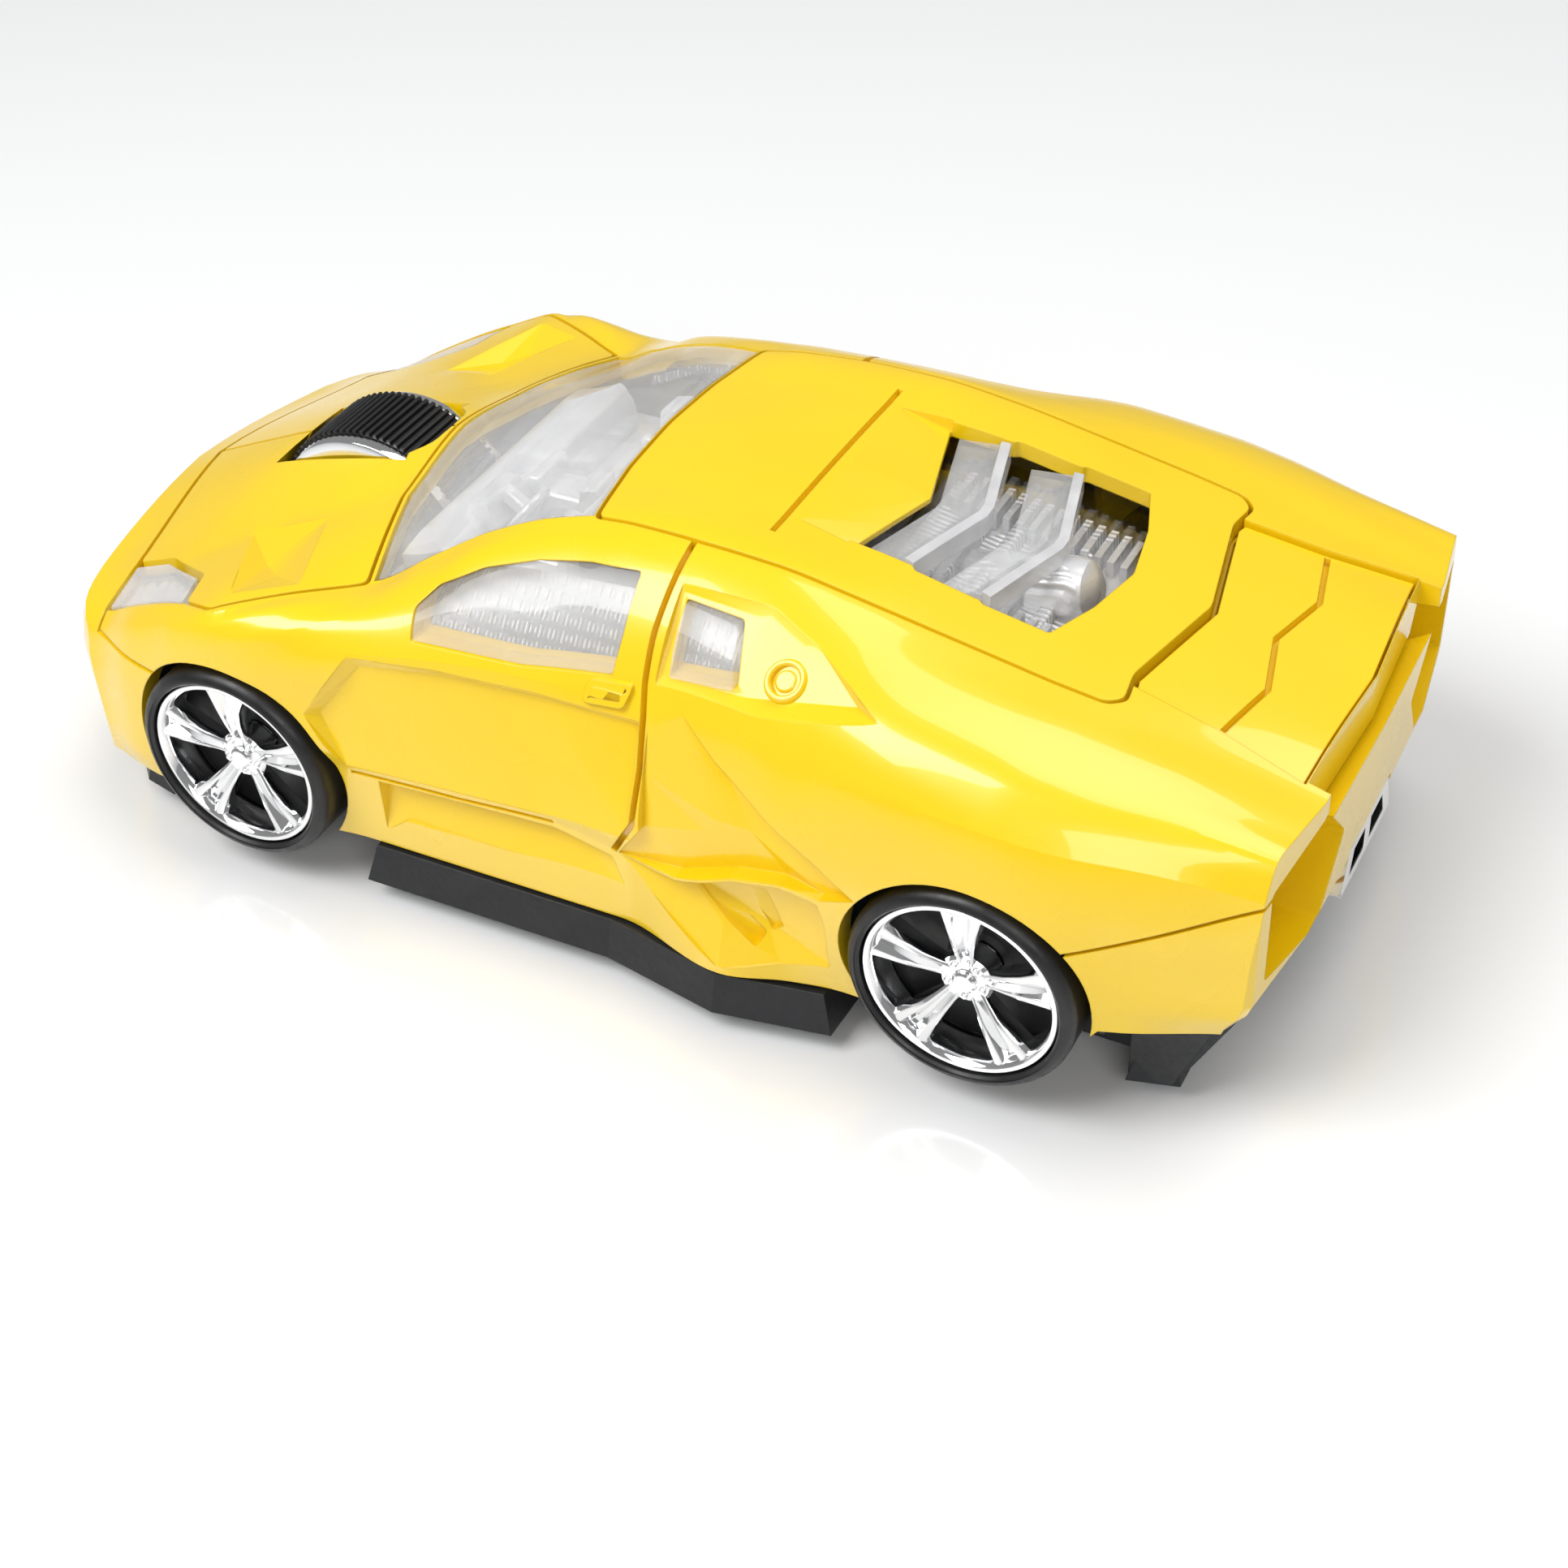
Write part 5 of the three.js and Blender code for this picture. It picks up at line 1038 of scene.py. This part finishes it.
def louvre_edge(y):
    """The thick bright rear edge of a clear louvre."""
    return meet(layer(0, 1.6), up_z(stroke(v_path(y, 9.1, 2.2), 0.8), 20, ROOF))


def louvre_shelf(y):
    """The clear blade that runs down and forwards from a louvre's rear edge."""
    rings = []
    for x in (-9.0, -0.5, 0.5, 9.0):
        back = y - 0.4 if abs(x) < 1 else y - 2.6
        high = top_z(x, back, 0.35)
        rings.append([(x, back, high), (x, back - 3.6, high - 0.3), (x, back - 3.6, high - 0.9),
                      (x, back, high - 0.6)])
    return loft(rings)


piece("engine_cover", engine_cover(), "lid", LOOKS["smoked"], ("engine_window",))
for k, y in enumerate((22.3, 28.5)):
    piece(f"louvre_edge_{k}", louvre_edge(y), "lid", EDGE_PAINTED_HIGHLIGHT)
    piece(f"louvre_shelf_{k}", louvre_shelf(y), "lid", LOOKS["clear"])
piece("engine_moulding", engine_block(), "lid", ENGINE_PATTERN, ("engine_insert",))

# ------------------------------------------------------------------ wheels


def arc(centre, radius, start, end, steps=6):
    turns = [math.radians(start + (end - start) * k / steps) for k in range(steps + 1)]
    return [(centre[0] + radius * math.cos(a), centre[1] + radius * math.sin(a)) for a in turns]


def tyre_profile():
    """Radius and x of the tyre's section, with a raised ring on its outer wall."""
    inner, outer = HUB_X, TRACK_HALF
    return [(RIM_R + 0.02, inner + 0.3),
            *arc((TYRE_R - 0.9, inner + 0.9), 0.9, 270, 360), *arc((TYRE_R - 1.1, outer - 1.1), 1.1, 0, 80),
            (TYRE_R - 0.72, outer - 0.25), (TYRE_R - 0.78, outer - 0.12), (RIM_R + 0.3, outer - 0.1),
            (RIM_R + 0.12, outer - 0.3), (RIM_R + 0.12, WEB_X + 0.02), (RIM_R - 0.4, WEB_X + 0.02),
            (RIM_R - 0.4, inner + 0.5)]


def web_profile():
    return [(1.26, HUB_X + 0.4), (3.2, HUB_X + 0.4), (3.2, HUB_X + 1.8), (7.35, HUB_X + 1.8), (7.35, WEB_X),
            (6.4, WEB_X - 0.35), (2.6, WEB_X - 0.35), (2.1, WEB_X), (2.1, WEB_X - 1), (1.26, WEB_X - 1)]


def spoke(angle):
    """A broad spoke with two ridges and a valley between them, from hub to rim."""
    back, face = WEB_X + 1.3, TRACK_HALF - 0.75
    rings = []
    for r, half, drop in ((1.2, 0.75, 1.0), (2.2, 0.8, 0.75), (3.6, 1.02, 0.35), (5.2, 1.35, 0.1),
                          (6.6, 1.75, 0.0),
                          (7.25, 2.0, -0.05)):
        x = face - drop
        across = [(-half, x - 0.55), (-half * 0.86, x - 0.12), (-half * 0.62, x), (-half * 0.45, x - 0.06),
                  (-half * 0.14, x - 0.8), (half * 0.14, x - 0.8), (half * 0.45, x - 0.06), (half * 0.62, x),
                  (half * 0.86, x - 0.12), (half, x - 0.55), (half * 0.8, back), (-half * 0.8, back)]
        rings.append([(px, s, r) for s, px in across])
    return moved(loft(rings), Matrix.Rotation(angle, 4, "X"))


def rim():
    face = TRACK_HALF - 0.5
    back = WEB_X + 0.35
    ring = lathe([(6.95, back + 0.5), (7.78, back + 0.5), (7.78, face - 0.1), (7.68, face), (7.35, face),
                  (7.2, face - 0.15), (6.95, face - 0.6)], 96)
    hub = lathe([(0, back), (0, face - 0.75), (0.75, face - 0.78), (0.95, face - 0.95), (1.0, face - 1.2),
                 (1.9, face - 1.25), (2.15, face - 1.5), (2.2, back)], 48)
    fifth = 2 * math.pi / 5
    spokes = [spoke(k * fifth) for k in range(5)]
    nuts = []
    for k in range(5):
        nut = lathe([(0, face - 1.6), (0, face - 0.95), (0.2, face - 0.98), (0.27, face - 1.08),
                     (0.27, face - 1.6)], 12)
        nuts.append(moved(nut, Matrix.Rotation((k + 0.5) * fifth, 4, "X") @ Matrix.Translation((0, 0, 1.48))))
    return join(ring, hub, *spokes, *nuts)


TYRE, WEB, RIM = lathe(tyre_profile(), 96), lathe(web_profile(), 64), rim()
for end, y in zip(("front", "rear"), AXLES_Y):
    place = Matrix.Translation((0, y, WHEEL_Z))
    for part, mesh, look, slot, node in (
            ("tyre", TYRE, LOOKS["tyre"], "tyre", "tyre"), ("wheel_centre", WEB, SPOKE_BLACK, "tyre", None),
            ("rim", RIM, LOOKS["plated"], "plated", "rim")):
        pair(f"{part}_{end}_fine_{{}}", moved(mesh.copy(), place), f"wheel_{end}_{{}}", look,
             f"{node}_{end}_{{}}" if node else None, 34)

LINER_R = TYRE_R + 1.1
LINER_T = 0.4
liner = lathe([(LINER_R, 17), (LINER_R, 27.6), (LINER_R + LINER_T, 27.6), (LINER_R + LINER_T, 17)], 96)
for end, y in zip(("front", "rear"), AXLES_Y):
    ring = moved(liner.copy(), Matrix.Translation((0, y, WHEEL_Z)))
    arch = meet(ring, below(WALL + 0.05), box(0, 30, -60, 60, 8, 40))
    pair(f"well_liner_{end}_{{}}", arch, "chassis", LOOKS["base_black"], None, 34)

# ------------------------------------------------------------------ scroll wheel


def scroll_tyre():
    outline = []
    ribs = 88
    for i in range(ribs):
        for share, r in ((0.0, SCROLL_R - 0.42), (0.3, SCROLL_R - 0.42), (0.42, SCROLL_R - 0.05),
                         (0.65, SCROLL_R), (0.88, SCROLL_R - 0.05)):
            a = 2 * math.pi * (i + share) / ribs
            outline.append((r * math.cos(a), r * math.sin(a)))
    tube = across_x(outline, -SCROLL_W / 2, SCROLL_W / 2)
    return cut(tube, lathe([(0, -10), (0, 10), (8.3, 10), (8.3, -10)], 72))


def scroll_hub():
    inner = SCROLL_W / 2 + 0.1
    outer = inner + 1.1
    side = [(0, inner), (0, outer), (1.9, outer), (2.4, inner + 0.4), (6.4, inner + 0.4), (7.2, outer - 0.1),
            (7.5, outer), (SCROLL_R - 1.0, outer), (SCROLL_R - 0.6, outer - 0.15),
            (SCROLL_R - 0.4, inner + 0.4),
            (SCROLL_R - 0.45, inner)]
    flange = lathe(side, 96)
    drum = lathe([(0, -inner - 0.1), (0, inner + 0.1), (8.2, inner + 0.1), (8.2, -inner - 0.1)], 72)
    axle = lathe([(0, -7.2), (0, 9.8), (1.1, 9.8), (1.1, -7.2)], 32)
    return join(drum, flange, mirrored(flange), axle)


AT_SCROLL = Matrix.Translation((0, SCROLL_Y, SCROLL_Z))
piece("scroll_rubber", moved(scroll_tyre(), AT_SCROLL), "scroll_wheel", LOOKS["tyre"],
      ("scroll_tyre",), 40)
piece("scroll_drum", moved(scroll_hub(), AT_SCROLL), "scroll_wheel", LOOKS["plated"],
      ("scroll_hub",))

# ------------------------------------------------------------------ CAD nodes that stay, with their looks

SLOT_OF = {row["node"]: row["material_slot"] for row in frame["record"]["subparts"]}
for node, thing in frame["nodes"].items():
    look = LOOKS[SLOT_OF[node]]
    if not thing.material_slots:
        thing.data.materials.append(look)
    for holder in thing.material_slots:
        holder.material = look

# ------------------------------------------------------------------ floor, light and camera


def floor():
    material, nodes, links, shader = node_material("floor_pale")
    setting(shader, IOR=1.5, Coat_Weight=0.5, Coat_Roughness=0.03)
    shader.inputs["Base Color"].default_value = (0.86, 0.865, 0.87, 1)
    blend(nodes, links, shader, "Roughness", noise(nodes, links, 4, 2), 0.16, 0.22)
    mesh = mesh_from([(-3, -3, 0), (3, -3, 0), (3, 3, 0), (-3, 3, 0)], [(0, 1, 2, 3)])
    mesh.materials.append(material)
    made = bpy.data.objects.new("floor", mesh)
    made.location.z = -0.0001
    bpy.context.scene.collection.objects.link(made)


def area_light(name, place, aim, width, height, power):
    lamp = bpy.data.lights.new(name, "AREA")
    lamp.shape = "RECTANGLE"
    lamp.size, lamp.size_y, lamp.energy = width, height, power
    made = bpy.data.objects.new(name, lamp)
    made.location = place
    made.rotation_mode = "QUATERNION"
    made.rotation_quaternion = (Vector(aim) - Vector(place)).to_track_quat("-Z", "Y")
    bpy.context.scene.collection.objects.link(made)


def studio():
    world = bpy.data.worlds.new("studio")
    world.use_nodes = True
    world.node_tree.nodes["Background"].inputs["Color"].default_value = (1, 1, 1, 1)
    world.node_tree.nodes["Background"].inputs["Strength"].default_value = 0.27
    bpy.context.scene.world = world
    area_light("key", (0.35, -0.25, 0.6), (0, 0, 0.02), 0.4, 0.4, 4.2)
    area_light("side", (0.55, 0.4, 0.45), (0, 0, 0.02), 0.5, 0.25, 1.7)
    area_light("top", (-0.2, 0.15, 0.7), (0, 0, 0.02), 0.5, 0.5, 2.6)


def camera():
    """The photograph's view: from the left, ahead of the tail, well above the roof."""
    azimuth, elevation, roll = math.radians(119.173), math.radians(38.276), math.radians(-3.146)
    right = Vector((math.cos(azimuth), math.sin(azimuth), 0))
    back = Vector((math.sin(azimuth) * math.cos(elevation), -math.cos(azimuth) * math.cos(elevation),
                   math.sin(elevation)))
    up = back.cross(right)
    side = right * math.cos(roll) + up * math.sin(roll)
    rise = up * math.cos(roll) - right * math.sin(roll)
    data = bpy.data.cameras.new("camera")
    data.lens, data.sensor_width = 59.06, 36
    data.shift_x, data.shift_y = 0.00634, -0.00906
    data.clip_start, data.clip_end = 0.01, 10
    data.dof.use_dof = False
    made = bpy.data.objects.new("camera", data)
    turn = Matrix((side, rise, back)).transposed().to_4x4()
    made.matrix_world = Matrix.Translation((0.15284, 0.08794 + SHIFT_Y * MM, 0.13999)) @ turn
    bpy.context.scene.collection.objects.link(made)
    bpy.context.scene.camera = made


floor()
studio()
camera()
bpy.context.scene.view_settings.view_transform = "Standard"
